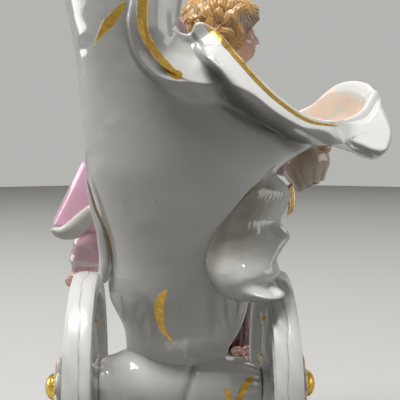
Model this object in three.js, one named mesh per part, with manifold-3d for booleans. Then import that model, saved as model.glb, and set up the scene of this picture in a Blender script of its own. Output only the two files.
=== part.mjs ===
// A porcelain cornucopia vase on a two-wheeled cart, with a figure in a coat behind it.
// Millimetres, +Z up. X runs along the wheels' axle, and the front of the group faces -Y.
import * as THREE from "three";
import { mergeVertices } from "three/addons/utils/BufferGeometryUtils.js";
import Module from "manifold-3d";

const wasm = await Module();
wasm.setup();

// Clearance that luted pieces keep in this model
const SEAT = 0.3;

// Base and mound
const BASE_WIDTH = 108;
const BASE_DEPTH = 112;
const BASE_HEIGHT = 12;
const BASE_BACKSET = 24;
const BASE_SCALLOP = 1.2;
const MOUND_HEIGHT = 30;
const MOUND_HALF_WIDTH = 41;
const MOUND_HALF_DEPTH = 17;
const MOUND_GAP = 1.5;

// Wheels
const WHEEL_RADIUS = 42;
const WHEEL_WIDTH = 8.9;
const RIM_DEPTH = 8;
const WHEEL_TRACK = 68.1;
const SPOKES = 10;
const SPOKE_RADIUS = 2.1;
const NAVE_RADIUS = 8.5;
const NAVE_OVERHANG = 3.4;
const ROSETTE_RADIUS = 13;
const ROSETTE_THICKNESS = 3.6;
const PETALS = 8;
const CAP_RADIUS = 5.4;
const CAP_HEIGHT = 4;

// Axle body
const AXLE_END_GAP = 0.4;

// Vase
const WALL = 3;
const BORE_FLOOR = 20;
const RIM_ROUNDING = 1.1;
const COLLAR_RISE = 2.6;
const COLLAR_BEAD = 1.7;
const SPOUT_LIP = 7.5;
const MOUTH_LEAN = 7;
const NOTCH_RADIUS = 4;
const NOTCH_X = 1.4;
const NOTCH_RISE = 127.1;

// Applied leaf
const LEAF_THICKNESS = 5.5;
const LEAF_LOBE = 1.1;
const LEAF_SCALLOPS = 4;

// Figure
const FIGURE_HEIGHT = 156;
const FIGURE_FORWARD = 9.5;
const HEAD_HEIGHT = 25;
const HEAD_X = 22;
const SHOULDER_X = 10;
const HIP_X = -19;
const LEG_SPREAD = 5;
const ARM_SPREAD = 14.5;
const HAIR_HALF_LENGTH = 17.5;
const HAIR_HALF_WIDTH = 13.5;
const HAIR_HALF_HEIGHT = 14;
const HAIR_BACKSET = 4;
const HAIR_LIFT = 5;
const TAIL_FLARE = 21;
const TAIL_DROP = 36;
const LACE_START = 4.6;
const LACE_FLARE = 6.2;
const LACE_FOLDS = 7;
const STUMP_X = 25;
const STUMP_BACKSET = 5.5;
const STUMP_HEIGHT = 40;

// Heights that the sizes above give
const GROUND = 0;
const BASE_TOP = GROUND + BASE_HEIGHT;
const MOUND_TOP = BASE_TOP + MOUND_HEIGHT;
const AXLE_Z = BASE_TOP + SEAT + WHEEL_RADIUS;
const MOUND_Y = WHEEL_RADIUS + MOUND_GAP + MOUND_HALF_DEPTH;
const FIGURE_Y = MOUND_Y - FIGURE_FORWARD;
const STUMP_Y = MOUND_Y + STUMP_BACKSET;
const WHEEL_INNER = (WHEEL_TRACK - WHEEL_WIDTH) / 2;
const WHEEL_OUTER = (WHEEL_TRACK + WHEEL_WIDTH) / 2;

const glaze = { color: 0xe6e5e0, roughness: 0.08, metalness: 0 };
const gilding = { color: 0xc9982f, roughness: 0.25, metalness: 1 };
const rose = { color: 0xd99bb4, roughness: 0.1, metalness: 0 };
const skin = { color: 0xe9c3a8, roughness: 0.12, metalness: 0 };
const hairBrown = { color: 0xb98238, roughness: 0.15, metalness: 0 };
const stump = { color: 0x5a2c2c, roughness: 0.2, metalness: 0 };

const group = new THREE.Group();

function v(x, y, z) {
  return new THREE.Vector3(x, y, z);
}

function smooth(from, to, value) {
  return THREE.MathUtils.smoothstep(value, from, to);
}

function bell(value, centre, width) {
  return Math.exp(-0.5 * ((value - centre) / width) ** 2);
}

// Closed solid through a stack of rings that hold the same number of points
function stack(rings) {
  const count = rings[0].length;
  const points = rings.flat();
  const ends = [rings[0], rings[rings.length - 1]].map((ring) =>
    ring.reduce((sum, p) => sum.add(p), v(0, 0, 0)).divideScalar(count),
  );
  points.push(...ends);
  const index = [];
  for (let r = 0; r + 1 < rings.length; r++) {
    for (let i = 0; i < count; i++) {
      const next = (i + 1) % count;
      const a = r * count + i;
      const b = r * count + next;
      index.push(a, b, b + count, a, b + count, a + count);
    }
  }
  const top = (rings.length - 1) * count;
  for (let i = 0; i < count; i++) {
    const next = (i + 1) % count;
    index.push(points.length - 2, next, i);
    index.push(points.length - 1, top + i, top + next);
  }
  return facingOut(points, index);
}

function facingOut(points, index) {
  let volume = 0;
  const cross = v(0, 0, 0);
  for (let i = 0; i < index.length; i += 3) {
    cross.crossVectors(points[index[i + 1]], points[index[i + 2]]);
    volume += points[index[i]].dot(cross);
  }
  const turned = volume < 0 ? index.slice().reverse() : index;
  const geometry = new THREE.BufferGeometry().setFromPoints(points);
  geometry.setIndex(turned);
  return geometry;
}

// Solids for cutting and joining
function toSolid(geometry) {
  const bare = geometry.clone();
  bare.deleteAttribute("normal");
  bare.deleteAttribute("uv");
  const merged = mergeVertices(bare, 1e-4);
  const mesh = new wasm.Mesh({
    numProp: 3,
    vertProperties: new Float32Array(merged.attributes.position.array),
    triVerts: new Uint32Array(merged.index.array),
  });
  return new wasm.Manifold(mesh);
}

function toGeometry(solid) {
  const mesh = solid.getMesh();
  const geometry = new THREE.BufferGeometry();
  geometry.setAttribute("position", new THREE.BufferAttribute(mesh.vertProperties, 3));
  geometry.setIndex(new THREE.BufferAttribute(mesh.triVerts, 1));
  return geometry;
}

function join(...geometries) {
  const solids = geometries.map(toSolid);
  return toGeometry(solids.reduce((sum, one) => sum.add(one)));
}

// A copy whose surface stands off by the given distance
function grown(geometry, distance) {
  const bare = geometry.clone();
  bare.deleteAttribute("normal");
  bare.deleteAttribute("uv");
  const copy = mergeVertices(bare, 1e-4);
  copy.computeVertexNormals();
  const { position, normal } = copy.attributes;
  for (let i = 0; i < position.count; i++) {
    position.setXYZ(
      i,
      position.getX(i) + normal.getX(i) * distance,
      position.getY(i) + normal.getY(i) * distance,
      position.getZ(i) + normal.getZ(i) * distance,
    );
  }
  return copy;
}

// Cuts a piece back to its seat on its neighbours, and drops the slivers that the cut leaves
function seat(geometry, ...neighbours) {
  let solid = toSolid(geometry);
  for (const neighbour of neighbours) {
    solid = solid.subtract(toSolid(grown(neighbour, SEAT)));
  }
  const bodies = solid.decompose();
  return toGeometry(bodies.reduce((a, b) => (a.volume() > b.volume() ? a : b)));
}

function piece(name, geometry, look) {
  const mesh = new THREE.Mesh(geometry, new THREE.MeshStandardMaterial(look));
  mesh.name = name;
  group.add(mesh);
  return geometry;
}

// Solid of revolution about the axle line; the profile holds [x, radius] pairs from end to end
function turnedOnAxle(profile, sides) {
  const rings = profile.map(([x, radius]) => circleAboutX(x, radius, sides));
  return stack(rings);
}

function circleAboutX(x, radius, sides) {
  const ring = [];
  for (let i = 0; i < sides; i++) {
    const angle = (i / sides) * 2 * Math.PI;
    ring.push(v(x, radius * Math.cos(angle), AXLE_Z + radius * Math.sin(angle)));
  }
  return ring;
}

// Tapered limb along a smooth path; each stop is [x, y, z, half width, half depth]
function limb(stops, sides, steps) {
  const path = new THREE.CatmullRomCurve3(stops.map(([x, y, z]) => v(x, y, z)));
  const sizes = new THREE.CatmullRomCurve3(stops.map(([, , , w, d]) => v(w, d ?? w, 0)));
  const rings = [];
  for (let s = 0; s <= steps; s++) {
    const t = s / steps;
    const tangent = path.getTangent(t);
    const across = v(0, 1, 0).projectOnPlane(tangent).normalize();
    const along = across.clone().cross(tangent).normalize();
    const { x: wide, y: deep } = sizes.getPoint(t);
    const centre = path.getPoint(t);
    const ring = [];
    for (let i = 0; i < sides; i++) {
      const angle = (i / sides) * 2 * Math.PI;
      const p = centre.clone();
      p.addScaledVector(along, wide * Math.cos(angle));
      p.addScaledVector(across, deep * Math.sin(angle));
      ring.push(p);
    }
    rings.push(ring);
  }
  return stack(rings);
}

// Ball whose radius is worked out for each direction
function ball(centre, radiusOf, columns, rows) {
  const rings = [];
  for (let r = 1; r < rows; r++) {
    const polar = (r / rows) * Math.PI;
    const ring = [];
    for (let c = 0; c < columns; c++) {
      const angle = (c / columns) * 2 * Math.PI;
      const direction = v(
        Math.sin(polar) * Math.cos(angle),
        Math.sin(polar) * Math.sin(angle),
        Math.cos(polar),
      );
      ring.push(direction.multiplyScalar(radiusOf(direction)).add(centre));
    }
    rings.push(ring);
  }
  return stack(rings);
}

// Base: a plate with softly rounded corners and a shallow scalloped edge
function baseOutline(inset, z) {
  const ring = [];
  const count = 48;
  for (let i = 0; i < count; i++) {
    const angle = (i / count) * 2 * Math.PI;
    const c = Math.cos(angle);
    const s = Math.sin(angle);
    const corner = (Math.abs(c) ** 3.2 + Math.abs(s) ** 3.2) ** (-1 / 3.2);
    const drawIn = inset + BASE_SCALLOP * (1 - Math.cos(8 * angle));
    const x = (BASE_WIDTH / 2 - drawIn) * corner * c;
    const y = (BASE_DEPTH / 2 - drawIn) * corner * s;
    ring.push(v(x, BASE_BACKSET + y, z));
  }
  return ring;
}

function makeBase() {
  const bead = BASE_HEIGHT / 3;
  return stack([
    baseOutline(1.2, GROUND),
    baseOutline(0, GROUND + 0.3 * bead),
    baseOutline(0, GROUND + bead),
    baseOutline(2.6, GROUND + 1.4 * bead),
    baseOutline(3.4, GROUND + 2 * bead),
    baseOutline(2.2, GROUND + 2.6 * bead),
    baseOutline(4.2, BASE_TOP),
  ]);
}

// Mound behind the cart, on which the figure stands
function moundRing(share, z) {
  const ring = [];
  const count = 36;
  for (let i = 0; i < count; i++) {
    const angle = (i / count) * 2 * Math.PI;
    const rock = 1 + 0.05 * Math.sin(3 * angle + z / 9) + 0.03 * Math.sin(7 * angle - z / 5);
    const x = MOUND_HALF_WIDTH * share * rock * Math.cos(angle);
    const y = MOUND_HALF_DEPTH * share * rock * Math.sin(angle);
    ring.push(v(x, MOUND_Y + y, z));
  }
  return ring;
}

function makeMound() {
  const floor = BASE_TOP + SEAT;
  const climb = MOUND_TOP - floor;
  return stack([
    moundRing(1, floor),
    moundRing(0.99, floor + 0.25 * climb),
    moundRing(0.93, floor + 0.5 * climb),
    moundRing(0.95, floor + 0.72 * climb),
    moundRing(0.92, floor + 0.93 * climb),
    moundRing(0.86, MOUND_TOP),
  ]);
}

// Wheels: side is -1 for the left wheel and 1 for the right
function makeWheel(side) {
  const inner = side * WHEEL_INNER;
  const outer = side * WHEEL_OUTER;
  const round = 1.6 * side;
  const hollow = WHEEL_RADIUS - RIM_DEPTH;
  const rimProfile = [
    [inner, hollow + 1.2],
    [inner, WHEEL_RADIUS - 1.4],
    [inner + round, WHEEL_RADIUS],
    [outer - round, WHEEL_RADIUS],
    [outer, WHEEL_RADIUS - 1.4],
    [outer, hollow + 1.2],
    [outer - round, hollow],
    [inner + round, hollow],
  ];
  const rim = ringOnAxle(rimProfile, 32);
  const nave = turnedOnAxle(
    [
      [inner, 0.55 * NAVE_RADIUS],
      [inner, 0.8 * NAVE_RADIUS],
      [inner + 0.3 * side * WHEEL_WIDTH, NAVE_RADIUS],
      [inner + 0.7 * side * WHEEL_WIDTH, NAVE_RADIUS],
      [outer + 0.4 * side * NAVE_OVERHANG, 0.8 * NAVE_RADIUS],
      [outer + side * NAVE_OVERHANG, 0.95 * NAVE_RADIUS],
      [outer + side * NAVE_OVERHANG, 0.55 * NAVE_RADIUS],
    ],
    14,
  );
  const spokes = [];
  for (let i = 0; i < SPOKES; i++) {
    spokes.push(makeSpoke(side, ((i + 0.5) / SPOKES) * 2 * Math.PI));
  }
  return join(rim, nave, ...spokes);
}

function ringOnAxle(profile, sides) {
  const rings = profile.map(([x, radius]) => circleAboutX(x, radius, sides));
  const points = rings.flat();
  const index = [];
  for (let r = 0; r < rings.length; r++) {
    const other = (r + 1) % rings.length;
    for (let i = 0; i < sides; i++) {
      const next = (i + 1) % sides;
      const a = r * sides + i;
      const b = r * sides + next;
      const c = other * sides + next;
      const d = other * sides + i;
      index.push(a, b, c, a, c, d);
    }
  }
  return facingOut(points, index);
}

function makeSpoke(side, angle) {
  const middle = (side * (WHEEL_INNER + WHEEL_OUTER)) / 2;
  const reach = WHEEL_RADIUS - 0.6 * RIM_DEPTH;
  const stops = [
    [0.6 * NAVE_RADIUS, SPOKE_RADIUS],
    [0.45 * reach, 1.25 * SPOKE_RADIUS],
    [reach, SPOKE_RADIUS],
  ];
  const radial = v(0, Math.cos(angle), Math.sin(angle));
  const tangent = v(0, -Math.sin(angle), Math.cos(angle));
  const rings = stops.map(([distance, half]) => {
    const ring = [];
    for (let i = 0; i < 6; i++) {
      const turn = (i / 6) * 2 * Math.PI;
      const p = v(middle + half * Math.cos(turn), 0, AXLE_Z);
      p.addScaledVector(radial, distance);
      p.addScaledVector(tangent, half * Math.sin(turn));
      ring.push(p);
    }
    return ring;
  });
  return stack(rings);
}

function makeRosette(side) {
  const inner = side * (WHEEL_OUTER + NAVE_OVERHANG + SEAT);
  const count = PETALS * 3;
  const petalRing = (offset, share) => {
    const ring = [];
    for (let i = 0; i < count; i++) {
      const angle = (i / count) * 2 * Math.PI;
      const petal = 1 - 0.16 * (1 - Math.abs(Math.sin((PETALS * angle) / 2)));
      const radius = ROSETTE_RADIUS * share * petal;
      const x = inner + side * offset;
      ring.push(v(x, radius * Math.cos(angle), AXLE_Z + radius * Math.sin(angle)));
    }
    return ring;
  };
  return stack([
    petalRing(0, 0.55),
    petalRing(0.25 * ROSETTE_THICKNESS, 0.85),
    petalRing(0.55 * ROSETTE_THICKNESS, 1),
    petalRing(0.85 * ROSETTE_THICKNESS, 0.85),
    petalRing(0.7 * ROSETTE_THICKNESS, 0.5),
  ]);
}

function makeHubCap(side) {
  const inner = WHEEL_OUTER + NAVE_OVERHANG + 2 * SEAT + 0.85 * ROSETTE_THICKNESS;
  const profile = [];
  for (let i = 0; i <= 4; i++) {
    const angle = (i / 4) * 0.48 * Math.PI;
    profile.push([side * (inner + CAP_HEIGHT * Math.sin(angle)), CAP_RADIUS * Math.cos(angle)]);
  }
  return turnedOnAxle(profile, 16);
}

// Axle body: two lobes with a waist between them, where the vase stands; the profile
// holds [share of its half length, radius] from the left end to the right one
const AXLE_PROFILE = [
  [-1, 9.4], [-0.94, 10.8], [-0.84, 11.8], [-0.7, 13.4], [-0.4, 12.8], [-0.08, 11], [0.14, 11.3],
  [0.44, 11.2], [0.68, 10.2], [0.86, 8.4], [1, 6],
];

function makeAxleBody() {
  const half = WHEEL_INNER - AXLE_END_GAP;
  const curve = new THREE.CatmullRomCurve3(
    AXLE_PROFILE.map(([share, radius]) => v(half * share, radius, 0)),
  );
  const profile = curve.getPoints(16).map(({ x, y }) => [x, y]);
  return turnedOnAxle(profile, 24);
}

// Vase: its left and right sides from foot to rim as [x, height above the axle],
// and its half depth at each stop
const LEFT_SIDE = [
  [-17, 1.7], [-19.5, 11.7], [-20.5, 21.7], [-25.6, 33.7], [-26.2, 49.7], [-29.6, 64.7], [-33.4, 79.7],
  [-34.8, 95.7], [-35.6, 108.7], [-37, 121.7], [-39, 133.7], [-41.5, 146.7], [-44, 158.7],
];
const RIGHT_SIDE = [
  [13, 1.7], [16.5, 11.7], [22, 21.7], [25.5, 33.7], [31, 49.7], [33, 64.7], [33, 76.7],
  [42, 83.7], [51.5, 87], [61, 84.5], [69.5, 83.3], [75, 91.7], [71.5, 103.7],
];
const HALF_DEPTH = [4, 6.5, 12.5, 17, 20.5, 23.5, 25.5, 27.5, 28.5, 29.5, 30, 30.5, 30];

const leftCurve = new THREE.CatmullRomCurve3(LEFT_SIDE.map(([x, z]) => v(x, 0, AXLE_Z + z)));
const rightCurve = new THREE.CatmullRomCurve3(RIGHT_SIDE.map(([x, z]) => v(x, 0, AXLE_Z + z)));
const depthCurve = new THREE.CatmullRomCurve3(HALF_DEPTH.map((depth) => v(depth, 0, 0)));

// Line on the front and back along which the rolled collar starts
const COLLAR = [
  [-26, 163.7], [-15, 141.7], [-16.5, 125.7], [-12.3, 114.4], [-1, 106.6], [16, 104.2],
  [31.5, 96.2], [50, 85.7], [90, 63.7],
];
const collarCurve = new THREE.CatmullRomCurve3(COLLAR.map(([x, z]) => v(x, 0, AXLE_Z + z)));
const collarLine = collarCurve.getPoints(80);

// Distance from the collar's line, positive inside the collar
function insideCollar(x, z) {
  let nearest = Infinity;
  let signed = 0;
  for (let i = 0; i + 1 < collarLine.length; i++) {
    const a = collarLine[i];
    const dx = collarLine[i + 1].x - a.x;
    const dz = collarLine[i + 1].z - a.z;
    const t = THREE.MathUtils.clamp(((x - a.x) * dx + (z - a.z) * dz) / (dx * dx + dz * dz), 0, 1);
    const gapX = x - a.x - t * dx;
    const gapZ = z - a.z - t * dz;
    const distance = Math.hypot(gapX, gapZ);
    if (distance < nearest) {
      nearest = distance;
      signed = distance * Math.sign(dx * gapZ - dz * gapX);
    }
  }
  return signed;
}

// Rise of the mouth's edge above its slanting plane, as [degrees round from the spout, rise]
const MOUTH_EDGE = [
  [0, -1], [22, 3], [42, -9], [65, -21], [95, -9], [118, 3], [138, -2], [160, 3], [182, -1.5],
  [206, 4], [226, -1], [246, 6], [254, -9.5], [262, -8.5], [270, -9.2], [278, -15.4], [286, -19],
  [295, -20], [306, -18], [316, -14], [332, -6], [360, -1],
];

function edgeSlope(i) {
  const before = MOUTH_EDGE[i - 1];
  const after = MOUTH_EDGE[i + 1];
  return before && after ? (after[1] - before[1]) / (after[0] - before[0]) : 0;
}

function mouthRise(degrees) {
  const i = MOUTH_EDGE.findIndex(([stop], k) => k > 0 && degrees <= stop) - 1;
  const [from, low] = MOUTH_EDGE[i];
  const [to, high] = MOUTH_EDGE[i + 1];
  const span = to - from;
  const u = (degrees - from) / span;
  const leaving = edgeSlope(i) * span * u * (1 - u) ** 2;
  const arriving = edgeSlope(i + 1) * span * u * u * (u - 1);
  return low + (high - low) * u * u * (3 - 2 * u) + leaving + arriving;
}

// A point of the vase's wall: t runs from the foot to the rim, angle 0 points to the spout
function vasePoint(t, angle, inset) {
  const left = leftCurve.getPoint(t);
  const right = rightCurve.getPoint(t);
  const leftIn = leftCurve.getTangent(t);
  const rightIn = rightCurve.getTangent(t);
  left.addScaledVector(v(leftIn.z, 0, -leftIn.x), inset);
  const lip = 1 + (SPOUT_LIP / WALL - 1) * smooth(0.75, 0.95, t);
  right.addScaledVector(v(-rightIn.z, 0, rightIn.x), inset * lip);
  const depth = depthCurve.getPoint(t).x - inset;
  const c = Math.cos(angle);
  const s = Math.sin(angle);
  const degrees = THREE.MathUtils.radToDeg(angle);
  const lean = MOUTH_LEAN * bell(degrees, 247, 7) * smooth(0.8, 1, t);
  const x = (left.x + right.x) / 2 + ((right.x - left.x) / 2) * c + lean;
  const spread = 1 - 0.28 * c * smooth(0.55, 0.95, t);
  const y = depth * s * spread;
  const rise = mouthRise(degrees) * smooth(0.7, 1, t);
  const z = (left.z + right.z) / 2 + ((right.z - left.z) / 2) * c + rise;
  return v(x, y, z);
}

function collarLift(p, t) {
  const inside = insideCollar(p.x, p.z);
  const rise = COLLAR_RISE * smooth(-4, 6, inside);
  const bead = COLLAR_BEAD * bell(inside, 4, 5);
  return (rise + bead) * smooth(0.5, 0.62, t);
}

function vaseRing(t, inset, sides) {
  const ring = [];
  for (let i = 0; i < sides; i++) {
    const angle = (i / sides) * 2 * Math.PI;
    const p = vasePoint(t, angle, inset);
    const lift = collarLift(p, t) * Math.abs(Math.sin(angle)) ** 0.7;
    const outward = v(0.35 * Math.cos(angle), Math.sin(angle), 0).normalize();
    ring.push(p.addScaledVector(outward, lift));
  }
  return ring;
}

function vaseRings(sides, rows) {
  const rings = [];
  for (let r = 0; r <= rows; r++) {
    rings.push(vaseRing(r / rows, 0, sides));
  }
  return rings;
}

function makeVaseBody(axleBody) {
  const sides = 52;
  const rings = vaseRings(sides, 22);
  const edge = vaseRing(1, WALL / 2, sides);
  edge.forEach((p) => p.add(v(0, 0, RIM_ROUNDING)));
  rings.push(edge);
  const floorShare = (BORE_FLOOR + WALL) / (LEFT_SIDE[LEFT_SIDE.length - 1][1] - LEFT_SIDE[0][1]);
  const innerRows = 8;
  for (let r = innerRows; r >= 0; r--) {
    rings.push(vaseRing(floorShare + ((1 - floorShare) * r) / innerRows, WALL, sides));
  }
  const bite = new THREE.CylinderGeometry(NOTCH_RADIUS, NOTCH_RADIUS, HALF_DEPTH[12], 14);
  bite.translate(NOTCH_X, -HALF_DEPTH[12], AXLE_Z + NOTCH_RISE);
  const wall = toSolid(stack(rings)).subtract(toSolid(bite));
  return seat(toGeometry(wall), axleBody);
}

// Applied shell leaf: its left and right edges from top to bottom as [x, y, height above the axle]
const LEAF_LEFT = [
  [27.9, -14, 76.7], [22.3, -18, 72.9], [16, -20.5, 66.7], [11.5, -21.5, 60.7],
  [8.6, -22, 53.7], [7.8, -22, 47.7], [10.2, -21.5, 41.3], [16, -22, 37.1],
];
const LEAF_RIGHT = [
  [33.4, -4, 77.9], [38.6, -4, 71.7], [36.5, -6, 64.2], [35.4, -9, 56.7],
  [32.4, -12, 49.2], [33, -18, 43.7], [33.2, -22.5, 39.7], [26, -23.5, 36.5],
];

function makeLeaf(...neighbours) {
  const left = new THREE.CatmullRomCurve3(LEAF_LEFT.map(([x, y, z]) => v(x, y, AXLE_Z + z)));
  const right = new THREE.CatmullRomCurve3(LEAF_RIGHT.map(([x, y, z]) => v(x, y, AXLE_Z + z)));
  const rings = [];
  const rows = 15;
  const sides = 12;
  for (let r = 0; r <= rows; r++) {
    const t = r / rows;
    const from = left.getPoint(t);
    const to = right.getPoint(t);
    to.x += LEAF_LOBE * Math.cos(LEAF_SCALLOPS * 2 * Math.PI * t) * smooth(0, 0.2, t);
    const half = to.clone().sub(from).divideScalar(2);
    const centre = from.clone().add(half);
    const outward = v(half.y, -half.x, 0).normalize();
    const thickness = 1 + LEAF_THICKNESS * Math.sin(Math.PI * Math.min(1, 0.12 + 0.9 * t));
    const ring = [];
    for (let i = 0; i < sides; i++) {
      const angle = (i / sides) * 2 * Math.PI;
      const p = centre.clone().addScaledVector(half, Math.cos(angle));
      ring.push(p.addScaledVector(outward, thickness * Math.sin(angle)));
    }
    rings.push(ring);
  }
  return seat(stack(rings), ...neighbours);
}

// Scroll edge on the lower left of the body
function makeScrollRib(vaseBody) {
  const rib = limb(
    [
      [-32.6, -7, AXLE_Z + 76.7, 0.9],
      [-30.6, -10, AXLE_Z + 66.7, 2.2],
      [-28, -11, AXLE_Z + 55.7, 2.6],
      [-26.4, -11, AXLE_Z + 45.7, 2.4],
      [-26.6, -10, AXLE_Z + 39.7, 1.1],
    ],
    8,
    10,
  );
  return seat(rib, vaseBody);
}

function makeGiltDrop(...neighbours) {
  const drop = limb(
    [
      [39, -4, AXLE_Z + 74.3, 0.9],
      [39.6, -4.4, AXLE_Z + 70.7, 1.4],
      [39.4, -5, AXLE_Z + 66.7, 1.4],
      [38.6, -6, AXLE_Z + 63.3, 0.7],
    ],
    8,
    8,
  );
  return seat(drop, ...neighbours);
}

// Figure, walking right behind the cart; heights are shares of its height above its soles
const SOLE = MOUND_TOP + SEAT;
const NEAR_Y = FIGURE_Y - LEG_SPREAD;
const FAR_Y = FIGURE_Y + LEG_SPREAD;

function level(share) {
  return SOLE + share * FIGURE_HEIGHT;
}

// Limb of the figure, whose half widths and depths are percents of its height
function bodyLimb(stops, sides, steps) {
  const percent = FIGURE_HEIGHT / 100;
  const sized = stops.map(([x, y, z, w, d]) => [x, y, z, w * percent, d * percent]);
  return limb(sized, sides, steps);
}

const HEAD_CENTRE = v(HEAD_X, FIGURE_Y, level(0.915));

function makeHead() {
  const half = HEAD_HEIGHT / 2;
  return ball(
    HEAD_CENTRE,
    (d) => {
      const skull = 1 / Math.hypot(d.x / (0.8 * half), d.y / (0.64 * half), d.z / half);
      const jaw = 0.08 * half * bell(d.distanceTo(v(0.75, 0, -0.66)), 0, 0.3);
      const nose = 0.17 * half * bell(d.distanceTo(v(0.99, 0, -0.1)), 0, 0.13);
      const temples = -0.05 * half * bell(d.z, 0.1, 0.2) * bell(Math.abs(d.y), 0.7, 0.2);
      return skull + jaw + nose + temples;
    },
    16,
    11,
  );
}

function makeHair(head) {
  const centre = HEAD_CENTRE.clone().add(v(-HAIR_BACKSET, 0, HAIR_LIFT));
  const curls = (d) =>
    1 + 0.07 * Math.sin(9 * d.x + 4 * d.z) * Math.cos(8 * d.y) + 0.05 * Math.sin(11 * d.z - 5 * d.x);
  const mass = ball(
    centre,
    (d) => curls(d) / Math.hypot(d.x / HAIR_HALF_LENGTH, d.y / HAIR_HALF_WIDTH, d.z / HAIR_HALF_HEIGHT),
    18,
    11,
  );
  const window = v(HEAD_CENTRE.x + 0.56 * HEAD_HEIGHT, FIGURE_Y, HEAD_CENTRE.z - 0.22 * HEAD_HEIGHT);
  const face = ball(window, () => 0.5 * HEAD_HEIGHT, 12, 8);
  const framed = toSolid(mass).subtract(toSolid(face));
  return seat(toGeometry(framed), head);
}

function makeTorso() {
  return bodyLimb(
    [
      [HIP_X, FIGURE_Y, level(0.51), 7.4, 7.7],
      [HIP_X + 3, FIGURE_Y, level(0.58), 6.7, 7.1],
      [HIP_X + 12, FIGURE_Y, level(0.67), 7.4, 8.3],
      [SHOULDER_X - 4, FIGURE_Y, level(0.745), 7.1, 9.3],
      [SHOULDER_X + 1, FIGURE_Y, level(0.79), 4.5, 6.4],
      [SHOULDER_X + 4, FIGURE_Y, level(0.81), 2.3, 3.2],
    ],
    14,
    9,
  );
}

function makeJabot(...neighbours) {
  const frill = bodyLimb(
    [
      [SHOULDER_X + 2, FIGURE_Y, level(0.795), 2.9, 2.9],
      [SHOULDER_X + 6, FIGURE_Y, level(0.82), 4.1, 4.1],
      [SHOULDER_X + 8.5, FIGURE_Y, level(0.84), 2.8, 2.9],
      [HEAD_X - 1, FIGURE_Y, level(0.88), 2.6, 2.6],
    ],
    10,
    6,
  );
  return seat(frill, ...neighbours);
}

// Coat skirt swinging back to a corner, open in front
function makeCoatTail(torso) {
  const rings = [];
  const rows = 6;
  const sides = 28;
  for (let r = 0; r <= rows; r++) {
    const t = r / rows;
    const ring = [];
    for (let i = 0; i < sides; i++) {
      const angle = (i / sides) * 2 * Math.PI;
      const back = 0.5 - 0.5 * Math.cos(angle);
      const pleat = 1 + 0.06 * t * Math.cos(7 * angle);
      const reach = 12 + t * (2 + TAIL_FLARE * back ** 2.2);
      const x = HIP_X + 2 - 3 * t + reach * pleat * Math.cos(angle);
      const y = FIGURE_Y + (11.5 + 5.5 * t) * pleat * Math.sin(angle);
      const z = level(0.6) - t * (TAIL_DROP - 9 * back ** 2);
      ring.push(v(x, y, z));
    }
    rings.push(ring);
  }
  return seat(stack(rings), torso);
}

// Turned-back corner of the coat skirt, which shows its lining
function makeCoatLining(coatTail) {
  const corner = HIP_X - 1 - 14 - TAIL_FLARE;
  const hem = level(0.6) - TAIL_DROP;
  const fold = limb(
    [
      [corner + 3, NEAR_Y - 6, hem + 10, 2.2, 5],
      [corner + 10, NEAR_Y - 11, hem + 10.5, 5.6, 2.8],
      [corner + 18, NEAR_Y - 13.5, hem + 13, 8, 2.4],
      [corner + 26, NEAR_Y - 13.5, hem + 17, 5, 1.6],
    ],
    10,
    8,
  );
  return seat(fold, coatTail);
}

function makeSleeve(y, elbow, wrist) {
  return bodyLimb(
    [
      [SHOULDER_X - 4, y, level(0.755), 3.5, 3.2],
      [SHOULDER_X - 1, y, level(0.72), 4.5, 4.1],
      [elbow[0], elbow[1], elbow[2], 3.8, 3.8],
      [(elbow[0] + wrist[0]) / 2, (elbow[1] + wrist[1]) / 2, (elbow[2] + wrist[2]) / 2, 3.8, 3.8],
      [wrist[0], wrist[1], wrist[2], 4.2, 4.2],
    ],
    10,
    10,
  );
}

// Lace cuff: a flared bell with a scalloped hem, from the wrist along the hand
function makeCuff(wrist, end, ...neighbours) {
  const axis = end.clone().sub(wrist);
  const across = v(0, 1, 0).projectOnPlane(axis).normalize();
  const upward = across.clone().cross(axis).normalize();
  const rings = [];
  const rows = 3;
  const sides = 4 * LACE_FOLDS;
  for (let r = 0; r <= rows; r++) {
    const t = r / rows;
    const ring = [];
    for (let i = 0; i < sides; i++) {
      const angle = (i / sides) * 2 * Math.PI;
      const cusp = 1 - Math.abs(Math.cos((LACE_FOLDS * angle) / 2));
      const radius = (LACE_START + t ** 0.8 * LACE_FLARE) * (1 - 0.16 * t * cusp);
      const p = wrist.clone().addScaledVector(axis, t - 0.12 * t * cusp);
      p.addScaledVector(across, radius * Math.cos(angle));
      p.addScaledVector(upward, radius * Math.sin(angle));
      ring.push(p);
    }
    rings.push(ring);
  }
  return seat(stack(rings), ...neighbours);
}

function makeHand(lace, reach, ...neighbours) {
  const from = lace.clone().add(reach[0]);
  const to = lace.clone().add(reach[1]);
  const middle = from.clone().lerp(to, 0.5);
  const tip = to.clone().addScaledVector(to.clone().sub(from), 0.35);
  const palm = bodyLimb(
    [
      [from.x, from.y, from.z, 1.7, 1.7],
      [middle.x, middle.y, middle.z, 1.8, 2.3],
      [to.x, to.y, to.z, 1.5, 2.6],
      [tip.x, tip.y, tip.z, 0.8, 1.7],
    ],
    8,
    6,
  );
  return seat(palm, ...neighbours);
}

function makeBreeches(y, hipX, knee, ...neighbours) {
  const leg = bodyLimb(
    [
      [hipX, y, level(0.53), 4.9, 4.7],
      [hipX + 0.4 * (knee[0] - hipX), y, level(0.44), 5.4, 5],
      [hipX + 0.85 * (knee[0] - hipX), y, knee[1] + 11, 4.6, 4.4],
      [knee[0], y, knee[1] + 3, 4, 4],
      [knee[0], y, knee[1] - 2, 3.1, 3.2],
    ],
    10,
    9,
  );
  return seat(leg, ...neighbours);
}

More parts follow.
